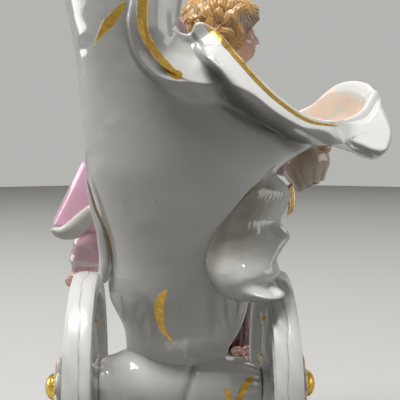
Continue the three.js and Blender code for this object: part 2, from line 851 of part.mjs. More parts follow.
function makeStocking(y, knee, ankle, ...neighbours) {
  const shin = bodyLimb(
    [
      [knee[0], y, knee[1] - 1, 3.1, 3.1],
      [knee[0] + 0.3 * (ankle[0] - knee[0]) - 1.4, y, knee[1] - 0.3 * (knee[1] - ankle[1]), 3.7, 3.5],
      [knee[0] + 0.7 * (ankle[0] - knee[0]), y, knee[1] - 0.7 * (knee[1] - ankle[1]), 2.7, 2.6],
      [ankle[0], y, ankle[1], 2.1, 2],
      [ankle[0] + 1, y, SOLE + 2.5, 1.8, 1.8],
    ],
    8,
    8,
  );
  return seat(shin, ...neighbours);
}

function makeShoe(y, ankle, ...neighbours) {
  const shoe = bodyLimb(
    [
      [ankle[0] - 5, y, SOLE + 3, 1.8, 1.9],
      [ankle[0], y, SOLE + 3.6, 3.1, 2.6],
      [ankle[0] + 8, y, SOLE + 2.2, 2.4, 2.8],
      [ankle[0] + 16, y, SOLE + 1.2, 1.2, 1.8],
    ],
    10,
    9,
  );
  return seat(shoe, ...neighbours);
}

// Ribbon bow: two loops and a knot
function makeBow(centre, reach, lean, ...neighbours) {
  const loop = (side) =>
    limb(
      [
        [centre.x, centre.y, centre.z, 1.1],
        [centre.x + 0.5 * side * reach, centre.y, centre.z + 0.5 * lean * side + 1, 2.2, 1.5],
        [centre.x + side * reach, centre.y, centre.z + lean * side, 1.5, 1.1],
      ],
      8,
      6,
    );
  return seat(join(loop(-1), loop(1)), ...neighbours);
}

function makeStump(...neighbours) {
  const trunk = limb(
    [
      [STUMP_X - 1, STUMP_Y, MOUND_TOP - 1, 10.4, 8],
      [STUMP_X, STUMP_Y, MOUND_TOP + 6, 8, 6.4],
      [STUMP_X + 1, STUMP_Y, MOUND_TOP + 0.6 * STUMP_HEIGHT, 7, 5.8],
      [STUMP_X, STUMP_Y, MOUND_TOP + STUMP_HEIGHT, 7.8, 6.2],
    ],
    10,
    6,
  );
  return seat(trunk, ...neighbours);
}

const base = piece("base", makeBase(), glaze);
const mound = piece("mound", makeMound(), glaze);
const wheels = {};
for (const [name, side] of [["left", -1], ["right", 1]]) {
  wheels[name] = piece(`${name}_wheel`, makeWheel(side), glaze);
  piece(`${name}_hub_rosette`, makeRosette(side), glaze);
  piece(`${name}_hub_cap`, makeHubCap(side), gilding);
}
const axleBody = piece("axle_body", makeAxleBody(), glaze);
const vaseBody = piece("vase_body", makeVaseBody(axleBody), glaze);
const leaf = piece("rocaille_leaf", makeLeaf(vaseBody, wheels.right), glaze);
piece("scroll_rib", makeScrollRib(vaseBody), glaze);

const head = piece("figure_head", makeHead(), skin);
const hair = piece("figure_hair", makeHair(head), hairBrown);
const torso = piece("coat_body", makeTorso(), rose);
const jabot = piece("neck_jabot", makeJabot(torso, head, hair), glaze);
const coatTail = piece("coat_tail", makeCoatTail(torso), rose);
piece("coat_lining", makeCoatLining(coatTail), glaze);

const nearWrist = v(46, 34, AXLE_Z + 80.7);
const nearLace = v(53, 25.5, AXLE_Z + 79.3);
const farWrist = v(32, 45, AXLE_Z + 90.7);
const farLace = v(37, 38, AXLE_Z + 91.7);
const NEAR_HAND_REACH = [v(-1, 2.5, 2.4), v(6, -3.5, 5.9)];
const FAR_HAND_REACH = [v(-1, 1, 0), v(2, -6, 1)];
const nearSleeve = seat(
  makeSleeve(FIGURE_Y - ARM_SPREAD, [18, FIGURE_Y - ARM_SPREAD + 1, level(0.62)], nearWrist.toArray()),
  torso, vaseBody,
);
piece("near_sleeve", nearSleeve, rose);
const farSleeve = seat(
  makeSleeve(FIGURE_Y + ARM_SPREAD, [24, FIGURE_Y + 11, level(0.645)], farWrist.toArray()),
  torso, nearSleeve,
);
piece("far_sleeve", farSleeve, rose);
const nearCuff = makeCuff(nearWrist, nearLace, nearSleeve, vaseBody);
piece("near_cuff", nearCuff, glaze);
const farCuff = makeCuff(farWrist, farLace, farSleeve, vaseBody, nearSleeve);
piece("far_cuff", farCuff, glaze);
piece("near_hand", makeHand(nearLace, NEAR_HAND_REACH, nearCuff, vaseBody), skin);
piece("far_hand", makeHand(farLace, FAR_HAND_REACH, farCuff, vaseBody, nearSleeve), skin);
piece("gilt_drop", makeGiltDrop(leaf, vaseBody, nearCuff), gilding);

const REAR_KNEE = [-39, level(0.3)];
const REAR_ANKLE = [-35, level(0.06)];
const FRONT_KNEE = [8, level(0.31)];
const FRONT_ANKLE = [19, level(0.06)];
const rearBreeches = makeBreeches(NEAR_Y, HIP_X - 2, REAR_KNEE, torso, coatTail);
piece("rear_breeches", rearBreeches, rose);
const frontBreeches = makeBreeches(FAR_Y, HIP_X + 4, FRONT_KNEE, torso, coatTail, rearBreeches);
piece("front_breeches", frontBreeches, rose);
const rearShoe = makeShoe(NEAR_Y, REAR_ANKLE, mound);
piece("rear_shoe", rearShoe, glaze);
const frontShoe = makeShoe(FAR_Y, FRONT_ANKLE, mound);
piece("front_shoe", frontShoe, glaze);
const rearStocking = makeStocking(NEAR_Y, REAR_KNEE, REAR_ANKLE, rearBreeches, rearShoe);
piece("rear_stocking", rearStocking, glaze);
const frontStocking = makeStocking(FAR_Y, FRONT_KNEE, FRONT_ANKLE, frontBreeches, frontShoe);
piece("front_stocking", frontStocking, glaze);
const garter = makeBow(v(REAR_KNEE[0], NEAR_Y - 6, REAR_KNEE[1] - 4), 7.5, 1, rearBreeches, rearStocking);
piece("rear_garter", garter, rose);
const shoeBow = makeBow(v(FRONT_ANKLE[0] + 9, FAR_Y - 2, SOLE + 7), 4.5, 0.5, frontShoe, frontStocking);
piece("shoe_bow", shoeBow, rose);
piece("tree_stump", makeStump(mound, frontShoe, frontStocking, frontBreeches, torso, shoeBow), stump);

// The finished group stands on the ground, centred on the origin
const bounds = new THREE.Box3().setFromObject(group);
const middle = bounds.getCenter(v(0, 0, 0));
group.position.set(-middle.x, -middle.y, -bounds.min.z);

export default group;
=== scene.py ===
import math

import bpy
import numpy as np
from mathutils import Matrix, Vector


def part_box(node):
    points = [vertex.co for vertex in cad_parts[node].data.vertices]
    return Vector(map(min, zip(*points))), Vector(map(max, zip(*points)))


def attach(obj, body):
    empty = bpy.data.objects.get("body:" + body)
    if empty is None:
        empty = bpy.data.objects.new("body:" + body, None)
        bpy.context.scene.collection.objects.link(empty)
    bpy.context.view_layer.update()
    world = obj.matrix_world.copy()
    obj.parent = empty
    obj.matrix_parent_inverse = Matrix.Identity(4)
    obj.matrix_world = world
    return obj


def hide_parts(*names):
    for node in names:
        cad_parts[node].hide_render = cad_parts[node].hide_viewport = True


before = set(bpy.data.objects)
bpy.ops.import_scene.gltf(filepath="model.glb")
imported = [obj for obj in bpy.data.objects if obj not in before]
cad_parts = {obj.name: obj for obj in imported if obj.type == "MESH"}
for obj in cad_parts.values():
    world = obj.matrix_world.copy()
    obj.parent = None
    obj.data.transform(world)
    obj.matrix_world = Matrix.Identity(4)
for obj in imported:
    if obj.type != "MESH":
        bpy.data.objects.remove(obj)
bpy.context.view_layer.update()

bl_info = {
    "name": "Cornucopia Cart Vase",
    "version": (1, 0, 0),
    "blender": (4, 5, 0),
    "location": "View3D > Sidebar > Cart Vase",
    "description": "Builds the porcelain finish of a cornucopia vase on a cart with its figure",
    "category": "Object",
}

MM = 0.001
TURN = 2 * math.pi


# Working space: millimetres, with X = 0 midway between the wheels, Y = 0 at the axle and Z = 0
# on the ground

def wheel_middle():
    """Place of the working space's origin in the frame, and the axle's height, in millimetres."""
    left_low, left_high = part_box("left_wheel")
    right_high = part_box("right_wheel")[1]
    x = (left_low.x + right_high.x) / 2
    y = (left_low.y + left_high.y) / 2
    return np.array([x, y, 0]) / MM, (left_low.z + left_high.z) / 2 / MM


ORIGIN, AXLE = wheel_middle()


def smooth(low, high, value):
    """Goes from 0 at low to 1 at high with soft ends; falls where high is the lesser."""
    share = np.clip((value - low) / (high - low), 0, 1)
    return share * share * (3 - 2 * share)


def bell(value, centre, width):
    """Hump that is 1 at its centre and falls off over the width."""
    return np.exp(-0.5 * ((value - centre) / width) ** 2)


def unit(vectors):
    return vectors / np.maximum(np.linalg.norm(vectors, axis=-1, keepdims=True), 1e-9)


def wrapped(angle):
    """The same angle, within half a turn of nought."""
    return np.angle(np.exp(1j * angle))


def ripple(points, size, seed):
    """Smooth random swell from about -1 to 1, whose humps are about the given size."""
    draw = np.random.default_rng(seed)
    total = 0
    for _ in range(14):
        direction = unit(draw.normal(size=3)) * TURN / (size * draw.uniform(0.7, 1.5))
        total = total + np.cos(points @ direction + draw.uniform(0, TURN))
    return total / 5.3


class Path:
    """Centripetal Catmull-Rom curve through its stops."""

    def __init__(self, stops):
        p = np.array(stops, float)
        self.last = len(p) - 2
        self.stops = np.vstack([2 * p[0] - p[1], p, 2 * p[-1] - p[-2]])

    def at(self, share):
        place = np.clip(np.asarray(share, float), 0, 1) * (self.last + 1)
        i = np.minimum(np.floor(place).astype(int), self.last)
        w = (place - i)[..., None]
        p0, p1, p2, p3 = (self.stops[i + k] for k in range(4))
        d0, d1, d2 = (
            np.maximum(((b - a) ** 2).sum(-1) ** 0.25, 1e-9)[..., None]
            for a, b in ((p0, p1), (p1, p2), (p2, p3))
        )
        leave = ((p1 - p0) / d0 - (p2 - p0) / (d0 + d1) + (p2 - p1) / d1) * d1
        arrive = ((p2 - p1) / d1 - (p3 - p1) / (d1 + d2) + (p3 - p2) / d2) * d1
        bend = -3 * p1 + 3 * p2 - 2 * leave - arrive
        twist = 2 * p1 - 2 * p2 + leave + arrive
        return p1 + leave * w + bend * w**2 + twist * w**3

    def along(self, share):
        share = np.asarray(share, float)
        ahead = self.at(np.clip(share + 1e-4, 0, 1))
        return unit(ahead - self.at(np.clip(share - 1e-4, 0, 1)))


def beside(x, z, line):
    """Distance of points from a line of (x, z) stops, positive on its left, and share along it."""
    shape = np.shape(x)
    point = np.stack([np.ravel(x), np.ravel(z)], -1)
    nearest = np.full(len(point), np.inf)
    signed = np.zeros(len(point))
    share = np.zeros(len(point))
    for i in range(len(line) - 1):
        step = line[i + 1] - line[i]
        gap = point - line[i]
        t = np.clip(gap @ step / (step @ step), 0, 1)
        rest = gap - t[:, None] * step
        distance = np.hypot(rest[:, 0], rest[:, 1])
        closer = distance < nearest
        side = np.sign(step[0] * rest[:, 1] - step[1] * rest[:, 0])
        nearest = np.where(closer, distance, nearest)
        signed = np.where(closer, distance * side, signed)
        share = np.where(closer, (i + t) / (len(line) - 1), share)
    return signed.reshape(shape), share.reshape(shape)


def stroke(x, z, stops):
    """How deep points lie inside a brush stroke of (x, z, half width) stops; negative outside."""
    shares = np.linspace(0, 1, 60)
    path = Path(stops).at(shares)
    signed, share = beside(x, z, path[:, :2])
    half = np.interp(share.ravel(), shares, path[:, 2]).reshape(share.shape)
    return half - np.abs(signed)


BARE = -5.0  # a gilt value far below nought, for places that stay white


def strokes(x, z, lines):
    """How deep points lie inside any of some brush strokes."""
    return np.maximum(BARE, np.max([stroke(x, z, stops) for stops in lines], axis=0))


# Modelling clay: points and faces of a piece, with values that its finish reads

class Clay:
    """Points in millimetres, faces, the finish number of each face, and a value for each point."""

    def __init__(self, points, faces, finish=0, **values):
        self.points = np.asarray(points, float).reshape(-1, 3)
        self.faces = faces
        self.finish = np.full(len(faces), finish)
        self.values = {key: np.ravel(value) for key, value in values.items()}

    def __add__(self, other):
        count = len(self.points)
        faces = self.faces + [tuple(i + count for i in face) for face in other.faces]
        both = Clay(np.vstack([self.points, other.points]), faces)
        both.finish = np.concatenate([self.finish, other.finish])
        for key in {**self.values, **other.values}:
            parts = [
                one.values.get(key, np.full(len(one.points), -1.0)) for one in (self, other)
            ]
            both.values[key] = np.concatenate(parts)
        return both

    def facing_out(self):
        """The same clay, its faces turned round if they enclose a volume below nought."""
        corners = [self.points[[face[k] for face in self.faces]] for k in range(3)]
        fourth = self.points[[face[-1] for face in self.faces]]
        volume = np.einsum("ij,ij->", corners[0], np.cross(corners[1], corners[2]))
        volume += np.einsum("ij,ij->", corners[0], np.cross(corners[2], fourth))
        if volume < 0:
            self.faces = [face[::-1] for face in self.faces]
        return self


def quads(rows, sides, closed):
    """Faces between neighbouring rings of points, and from the last ring to the first if closed."""
    row = np.arange(rows if closed else rows - 1)[:, None]
    column = np.arange(sides)[None]
    here, above, following = row * sides, (row + 1) % rows * sides, (column + 1) % sides
    faces = np.stack([here + column, here + following, above + following, above + column], -1)
    return [tuple(face) for face in faces.reshape(-1, 4).tolist()]


def closed_loft(rings, finish=0, **values):
    """Closed skin through rings of points, an array of rings x points x 3."""
    rows, sides = rings.shape[:2]
    faces = quads(rows, sides, False)
    first, last = rows * sides, rows * sides + 1
    top = (rows - 1) * sides
    for k in range(sides):
        following = (k + 1) % sides
        faces.append((first, following, k))
        faces.append((last, top + k, top + following))
    points = np.vstack([rings.reshape(-1, 3), rings[0].mean(0), rings[-1].mean(0)])
    full = {}
    for key, value in values.items():
        value = np.broadcast_to(value, (rows, sides))
        full[key] = np.concatenate([value.ravel(), [value[0].mean(), value[-1].mean()]])
    return Clay(points, faces, finish, **full).facing_out()


def torus_loft(rings, **values):
    """Skin through rings of points whose last ring joins the first."""
    rows, sides = rings.shape[:2]
    full = {key: np.broadcast_to(value, (rows, sides)) for key, value in values.items()}
    return Clay(rings, quads(rows, sides, True), **full).facing_out()


def around(sides):
    return np.arange(sides) / sides * TURN


def about_axle(x, radius, angle):
    """Points at the given radius and angle round the axle line."""
    return np.stack([x, radius * np.cos(angle), AXLE + radius * np.sin(angle)], -1)


def squared(angle, power):
    """Radius of a unit circle whose sides are flattened towards a square."""
    return (np.abs(np.cos(angle)) ** power + np.abs(np.sin(angle)) ** power) ** (-1 / power)


def columns(rows):
    """The columns of a table of rows, each as an upright array."""
    return (np.array(column, float)[:, None] for column in zip(*rows))


def turned(profile, sides, swell=None, closed=False, **values):
    """Turned about the axle line; the profile holds (x, radius) pairs."""
    profile = np.array(profile, float)
    angle = around(sides)[None]
    x = profile[:, :1] + 0 * angle
    radius = profile[:, 1:] + (swell(profile[:, :1], angle) if swell else 0 * angle)
    values = {key: np.broadcast_to(np.reshape(v, (-1, 1)) if np.ndim(v) == 1 else v, x.shape)
              for key, v in values.items()}
    return (torus_loft if closed else closed_loft)(about_axle(x, radius, angle), **values)


def rounded(profile, radius, closed=False):
    """The same profile with each of its corners rounded off."""
    profile = [np.array(p, float) for p in profile]
    count = len(profile)
    out = []
    for i, p in enumerate(profile):
        if not closed and i in (0, count - 1):
            out.append(p)
            continue
        before, after = profile[i - 1] - p, profile[(i + 1) % count] - p
        reach = min(radius, 0.45 * np.linalg.norm(before), 0.45 * np.linalg.norm(after))
        start, end = p + unit(before) * reach, p + unit(after) * reach
        for t in np.linspace(0, 1, 6):
            out.append((1 - t) ** 2 * start + 2 * t * (1 - t) * p + t * t * end)
    return out


def limb(stops, sides, steps, finish=0, swell=None, ends=(0, 0), tints=None):
    """Tapered limb along a path; a stop is (x, y, z, half width[, half depth])."""
    path = Path([stop[:3] for stop in stops])
    sizes = Path([(stop[3], stop[-1], 0) for stop in stops])
    t = np.linspace(0, 1, steps + 1)
    for share, sign in zip(ends, (1, -1)):
        if share:
            round_off = share * (1 - np.cos(np.linspace(0, math.pi / 2, 9)[:-1]))
            t = np.concatenate([t, round_off if sign > 0 else 1 - round_off])
    t = np.unique(np.round(t, 6))
    tangent = path.along(t)
    across = unit(np.array([0, 1, 0]) - tangent * tangent[:, 1:2])
    upward = np.cross(across, tangent)
    wide, deep = sizes.at(t)[:, 0:1], sizes.at(t)[:, 1:2]
    angle = around(sides)[None]
    grow = swell(t[:, None], angle) if swell else 0
    shrink = np.ones((len(t), 1))
    for share, run in zip(ends, (t, 1 - t)):
        if share:
            shrink *= np.sqrt(np.clip(1 - np.clip(1 - run / share, 0, 1) ** 2, 0.0004, 1))[:, None]
    across_part = across[:, None] * ((deep + grow) * shrink * np.sin(angle))[..., None]
    upward_part = upward[:, None] * ((wide + grow) * shrink * np.cos(angle))[..., None]
    rings = path.at(t)[:, None] + across_part + upward_part
    values = {key: value(t[:, None], angle) for key, value in (tints or {}).items()}
    return closed_loft(rings, finish, **values)


def fluted(radius, depth, flutes):
    """Radius of a small knot with flutes round it, for a ball."""
    return lambda d: radius + depth * np.cos(flutes * np.arctan2(d[..., 2], d[..., 0]))


def ball(centre, radius_of, columns, rows, tints=None):
    """Ball whose radius is worked out for each direction."""
    polar = np.linspace(0, math.pi, rows + 1)[1:-1, None]
    angle = around(columns)[None]
    d = np.stack([np.sin(polar) * np.cos(angle), np.sin(polar) * np.sin(angle),
                  np.cos(polar) + 0 * angle], -1)
    values = {key: value(d) for key, value in (tints or {}).items()}
    return closed_loft(np.array(centre) + d * radius_of(d)[..., None], **values)


def mesh_of(name, clay, finishes):
    mesh = bpy.data.meshes.new(name)
    mesh.from_pydata(((clay.points + ORIGIN) * MM).tolist(), [], clay.faces)
    mesh.polygons.foreach_set("material_index", clay.finish.astype(np.int32))
    for key, value in clay.values.items():
        layer = mesh.attributes.new(key, "FLOAT", "POINT")
        layer.data.foreach_set("value", value.astype(np.float32))
    for finish in finishes:
        mesh.materials.append(finish)
    mesh.shade_smooth()
    mesh.update()
    return mesh


def place(name, mesh, slot, *nodes):
    """Puts a finished mesh in the scene as a piece that stands for the given nodes."""
    piece = bpy.data.objects.new(name, mesh)
    bpy.context.scene.collection.objects.link(piece)
    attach(piece, "root")
    if nodes:
        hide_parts(*nodes)
    return piece


def piece(name, clay, finishes, slot, *nodes):
    return place(name, mesh_of(name, clay, finishes), slot, *nodes)


# Finishes

def add_node(tree, kind, settings=(), values=()):
    """Adds a node, its settings first; a value is set on its input, an output linked to it."""
    made = tree.nodes.new(kind)
    for key, value in dict(settings).items():
        setattr(made, key, value)
    for key, value in values.items() if isinstance(values, dict) else enumerate(values):
        value = getattr(value, "socket", value)
        if isinstance(value, bpy.types.NodeSocket):
            tree.links.new(value, made.inputs[key])
        else:
            made.inputs[key].default_value = value
    return made


class Wire:
    """An output of a finish's nodes that takes Python arithmetic."""

    def __init__(self, recipe, socket):
        self.recipe = recipe
        self.socket = socket

    def __add__(self, other):
        return self.recipe.maths("ADD", self, other)

    def __sub__(self, other):
        return self.recipe.maths("SUBTRACT", self, other)

    def __mul__(self, other):
        return self.recipe.maths("MULTIPLY", self, other)

    def __rsub__(self, other):
        return self.recipe.maths("SUBTRACT", other, self)

    __radd__ = __add__
    __rmul__ = __mul__


class Recipe:
    """A finish in the making."""

    def __init__(self, name):
        self.material = bpy.data.materials.new(name)
        self.material.use_nodes = True
        self.tree = self.material.node_tree
        self.tree.nodes.clear()
        self.where = self.node("ShaderNodeTexCoord", out="Object")

    def node(self, kind, settings=(), values=(), out=0):
        return Wire(self, add_node(self.tree, kind, settings, values).outputs[out])

    def maths(self, operation, *values):
        return self.node("ShaderNodeMath", {"operation": operation}, values)

    def noise(self, size, detail):
        """Noise from 0 to 1 whose patches are about the given size in millimetres."""
        values = {"Vector": self.where, "Scale": 1 / (size * MM), "Detail": detail}
        return self.node("ShaderNodeTexNoise", values=values)

    def value(self, name):
        return self.node("ShaderNodeAttribute", {"attribute_name": name}, out="Fac")

    def step(self, value, low, high):
        values = {"Value": value, "From Min": low, "From Max": high}
        return self.node("ShaderNodeMapRange", {"interpolation_type": "SMOOTHSTEP"}, values)

    def blend(self, share, first, second):
        values = {0: share, 6: first, 7: second}
        return self.node("ShaderNodeMix", {"data_type": "RGBA"}, values, out=2)

    def bump(self, height, distance):
        values = {"Height": height, "Distance": distance * MM, "Strength": 1.0}
        return self.node("ShaderNodeBump", values=values)

    def finish(self, **sockets):
        """Ends the recipe in a shader, whose sockets are named with _ for a blank."""
        values = {key.replace("_", " "): value for key, value in sockets.items()}
        shader = self.node("ShaderNodeBsdfPrincipled", values=values)
        add_node(self.tree, "ShaderNodeOutputMaterial", values={"Surface": shader})
        return self.material


def rgba(colour):
    return (*colour[:3], 1.0)


def tone(red, green, blue):
    """A colour from its screen values, 0 to 255."""
    shares = [value / 255 for value in (red, green, blue)]
    return tuple(s / 12.92 if s <= 0.04045 else ((s + 0.055) / 1.055) ** 2.4 for s in shares)


GOLD_LIGHT = rgba(tone(240, 205, 98))
GOLD_DARK = rgba(tone(166, 118, 42))


def gilded(recipe, colour, roughness):
    """Lays gilding over a colour where the piece's gilt value is above nought."""
    ragged = recipe.value("gilt") + (recipe.noise(0.9, 3) - 0.5) * 0.22
    mask = recipe.step(ragged, -0.05, 0.07)
    gold = recipe.blend(recipe.noise(2.4, 3), GOLD_DARK, GOLD_LIGHT)
    brush = recipe.step(recipe.noise(0.7, 2), 0.30, 0.62)
    gold = recipe.blend(brush * 0.75, recipe.blend(0.5, GOLD_DARK, gold), gold)
    colour = recipe.blend(mask, colour, gold)
    metal = mask * 0.9
    rough = roughness + mask * (0.12 + recipe.noise(1.4, 2) * 0.16)
    return colour, metal, rough, mask


def glaze(name, colour, tints=(), gilt=True, unevenness=1.0, gloss=0.07, coat=0.35):
    """Glazed porcelain; tints are (value name, colour, low, high) of enamels, washes and painted
    shade laid over it.
    """
    recipe = Recipe(name)
    cool = tuple(c * k for c, k in zip(colour, (0.945, 0.965, 0.985)))
    base = recipe.blend(recipe.noise(16, 3), rgba(cool), rgba(colour))
    # Painted shade: darker in the hollows where the value hollow is high, in a tone that also
    # stands for glaze pooled there
    pooled_glaze_and_shade = tuple(c * k for c, k in zip(colour, (0.70, 0.70, 0.66)))
    base = recipe.blend(recipe.step(recipe.value("hollow"), 0.0, 1.0) * 0.55, base, rgba(pooled_glaze_and_shade))
    for tint, paint, low, high in tints:
        edge = recipe.value(tint) + (recipe.noise(2.5, 3) - 0.5) * 0.3 * (high - low)
        paler = tuple(c + 0.2 * (1 - c) for c in paint)
        body = recipe.blend(recipe.noise(5, 4), rgba(paint), rgba(paler))
        base = recipe.blend(recipe.step(edge, low, high), base, body)
    speck = recipe.node("ShaderNodeTexVoronoi", values={"Vector": recipe.where, "Scale": 120.0})
    base = recipe.blend(recipe.step(speck, 0.035, 0.02) * 0.6, base, (0.16, 0.12, 0.09, 1.0))
    rough = gloss + recipe.noise(7, 2) * (0.03 + 0.4 * gloss)
    metal = 0.0
    relief = recipe.noise(11, 1) * 0.34 * unevenness + recipe.noise(3.2, 1) * 0.05 * unevenness
    if gilt:
        base, metal, rough, mask = gilded(recipe, base, rough)
        relief = relief + mask * 0.05 + mask * recipe.noise(0.5, 2) * 0.03
    normal = recipe.bump(relief, 1.0)
    return recipe.finish(Base_Color=base, Metallic=metal, Roughness=rough, Normal=normal,
                         IOR=1.52, Coat_Weight=coat, Coat_Roughness=0.03)


def solid_gilding(name, paleness=0.0):
    recipe = Recipe(name)
    worn = recipe.step(recipe.noise(3.5, 4), 0.25, 0.75)
    gold = recipe.blend(worn, GOLD_DARK, GOLD_LIGHT)
    if paleness:
        gold = recipe.blend(paleness, gold, rgba(tone(232, 220, 192)))
    rough = 0.18 + recipe.noise(1.1, 3) * 0.22
    normal = recipe.bump(recipe.noise(1.6, 3), 0.09)
    return recipe.finish(Base_Color=gold, Metallic=0.95, Roughness=rough, Normal=normal)


# Vase: left and right sides from foot to rim as (x, height above the axle), and half depths

LEFT_SIDE = [
    (-17, 1.7), (-19.5, 11.7), (-20.5, 21.7), (-25.6, 33.7), (-26.2, 49.7), (-29.6, 64.7),
    (-33.4, 79.7), (-34.8, 95.7), (-35.6, 108.7), (-37, 121.7), (-39, 133.7), (-41.5, 146.7),
    (-44, 158.7),
]
RIGHT_SIDE = [
    (13, 1.7), (16.5, 11.7), (22, 21.7), (25.5, 33.7), (31, 49.7), (33, 64.7), (33, 76.7),
    (42, 84.2), (50.5, 88), (59.5, 86.2), (68, 83), (74, 91.7), (71.5, 103.7),
]
HALF_DEPTH = [4, 6.5, 12.5, 17, 20.5, 23.5, 25.5, 27.5, 28.5, 29.5, 30, 30.5, 30]
# Rise of the mouth's edge above its slanting plane, as (degrees round from the spout, rise)
MOUTH_EDGE = [
    (0, 0.7), (12, 2.6), (22, 2.4), (30, 0.7), (36, -1.3), (42, -5.0), (50, -12.1), (65, -21),
    (95, -9), (118, 3), (138, -2), (160, 2.8), (182, -1.6), (206, 3.8), (226, -1), (246, 6),
    (254, -9.5),
    (262, -8.5), (270, -9.2), (278, -15.6), (286, -20), (295, -22), (306, -19.2), (313, -16.5),
    (320, -14.2), (328, -11.6), (334, -8.8), (340, -5), (346, -2), (353, 0.1), (360, 0.7),
]
# Bitten notch in the near edge, as (degrees, x, height above the axle)
NOTCH = [
    (247, -2, 147.2), (249, -0.6, 141), (251, -0.5, 135.3), (252.5, -1.2, 131.6),
    (254, -2.7, 129.4), (255.5, -4.0, 127.9), (257, -4.2, 126.4), (258.5, -3.3, 124.8),
    (260, -1.5, 123.9), (261.5, 0.3, 123.3), (263, 1.9, 123.2), (264.4, 3.2, 124.2),
    (265.6, 3.8, 125.4), (266.8, 4.5, 126.6), (268.4, 5.9, 127), (270.4, 8, 126.4),
    (272.6, 10.8, 124.9), (274.8, 13.8, 121.9), (277, 17.2, 117.6), (280, 23.2, 110),
]
# Knobs on the far edge, as (degrees, spread, share of their height), and a patch of painted shade
# there, a pinkish grey
KNOBS = [(105.1, 1.0, 1.0), (102.2, 0.9, 0.8)]
KNOB_HEIGHT = 1.3
KNOB_MIDDLE = 103.5
# Lines of the rolled collar and of the lip's ridge, from left to right, as (x, height)
COLLAR = [
    (-26, 163.7), (-15, 141.7), (-16.5, 125.7), (-12.3, 114.4), (-1, 106.6), (16, 104.2),
    (31.5, 96.2), (50, 85.7), (90, 63.7),
]
RIDGE = [
    (2.6, 125.4), (4.4, 121.6), (7.1, 118.5), (9.6, 116), (12.6, 112.7), (17.4, 106.4),
    (24.9, 100.2), (31.4, 96.9), (38.2, 92.3), (46.5, 87), (60, 80), (90, 66),
]
# Strokes as (x, height, half width): three gilt ones, a pleat, and painted shade under the notch
COLLAR_STROKE = [
    (-13, 146, 1.2), (-12.1, 140, 1.5), (-12.1, 134.3, 1.57), (-12.4, 130.2, 1.57),
    (-12.4, 126.5, 1.57), (-11.5, 122.8, 1.39), (-9.8, 119.7, 1.28), (-7.7, 116.9, 1.21),
    (-5.2, 114.0, 1.21), (-3.0, 111.4, 1.42), (-1.6, 110.9, 1.5),
]
COMMA_STROKE = [
    (-29.3, 116.9, 0.07), (-28.7, 119.7, 0.18), (-27.4, 122.7, 0.46), (-25.7, 125.0, 1.07),
    (-23.9, 127.1, 1.64), (-21.8, 129.1, 1.60), (-19.7, 131.4, 1.25), (-17.9, 133.2, 0.64),
]
CRESCENT_STROKE = [
    (-5.3, 39.4, 0.53), (-7.1, 36.7, 1.42), (-7.9, 32.8, 1.78), (-7.7, 28.4, 1.42),
    (-6.3, 23.6, 0.89), (-3.0, 19.4, 0.18),
]
PLEAT = [(3.1, 123.4, 0.5), (5.4, 120.6, 1), (7.7, 116.9, 0.9), (11.8, 113.3, 0.1)]
NOTCH_SHADE = [(0, 121.6, 0.6), (3.6, 121.5, 1.6), (6, 118.5, 1.4), (8.5, 113, 0.2)]
# Fold beside the left edge, as (x, height)
FOLD = [(-37, 128), (-35.6, 118), (-34.9, 108), (-34.4, 97)]
# Peach wash inside the spout: its right border, and the white wave in it
PEACH_BORDER = [
    (66.6, 88), (67.6, 94), (67.8, 98), (66.8, 102), (64.2, 104.8), (60.4, 106.6), (56, 111),
]
WHITE_WAVE = [
    (52.5, 96.2, 0.3), (56.5, 97.4, 1.0), (59.2, 99.8, 1.1), (62.2, 101.8, 1.0), (65.6, 102.2, 0.5),
]
# Gilt band under the mouth's near edge, as (share of its length from the notch, width)
BAND = [(0, 0), (0.05, 1.3), (0.14, 2.0), (0.3, 1.6), (0.6, 1.15), (0.85, 0.7), (1, 0)]
# The band's ends in degrees, and how many points go round the vase
BAND_START = 269.2
BAND_END = 313
COLUMNS = 340
# Heights of the solid foot, collar, ridge, lobe and rounded spout; the spout's lip in walls
FOOT_HEIGHT = 20
COLLAR_HEIGHT = 4.9
RIDGE_HEIGHT = 6.4
LOBE_HEIGHT = 18.5
SPOUT_ROLL = 2.4
SPOUT_LIP = 4.6 / 3.0

left_side = Path([(x, 0, z) for x, z in LEFT_SIDE])
right_side = Path([(x, 0, z) for x, z in RIGHT_SIDE])
half_depth = Path([(d, 0, 0) for d in HALF_DEPTH])
fold_line = Path(FOLD).at(np.linspace(0, 1, 20))
peach_line = Path(PEACH_BORDER).at(np.linspace(0, 1, 60))
collar_line = Path(COLLAR).at(np.linspace(0, 1, 81))
ridge_line = Path(RIDGE).at(np.linspace(0, 1, 60))
spout_line = Path(RIGHT_SIDE[-7:]).at(np.linspace(0, 1, 80))


def mouth_rise(degrees):
    """Rise of the mouth's edge, a soft curve through the stops of MOUTH_EDGE."""
    x, y = np.array(MOUTH_EDGE, float).T
    slope = np.zeros(len(x))
    slope[1:-1] = (y[2:] - y[:-2]) / (x[2:] - x[:-2])
    i = np.clip(np.searchsorted(x, degrees) - 1, 0, len(x) - 2)
    span = x[i + 1] - x[i]
    u = (degrees - x[i]) / span
    step = (y[i + 1] - y[i]) * u * u * (3 - 2 * u)
    leave = slope[i] * span * u * (1 - u) ** 2
    return y[i] + step + leave + slope[i + 1] * span * u * u * (u - 1)


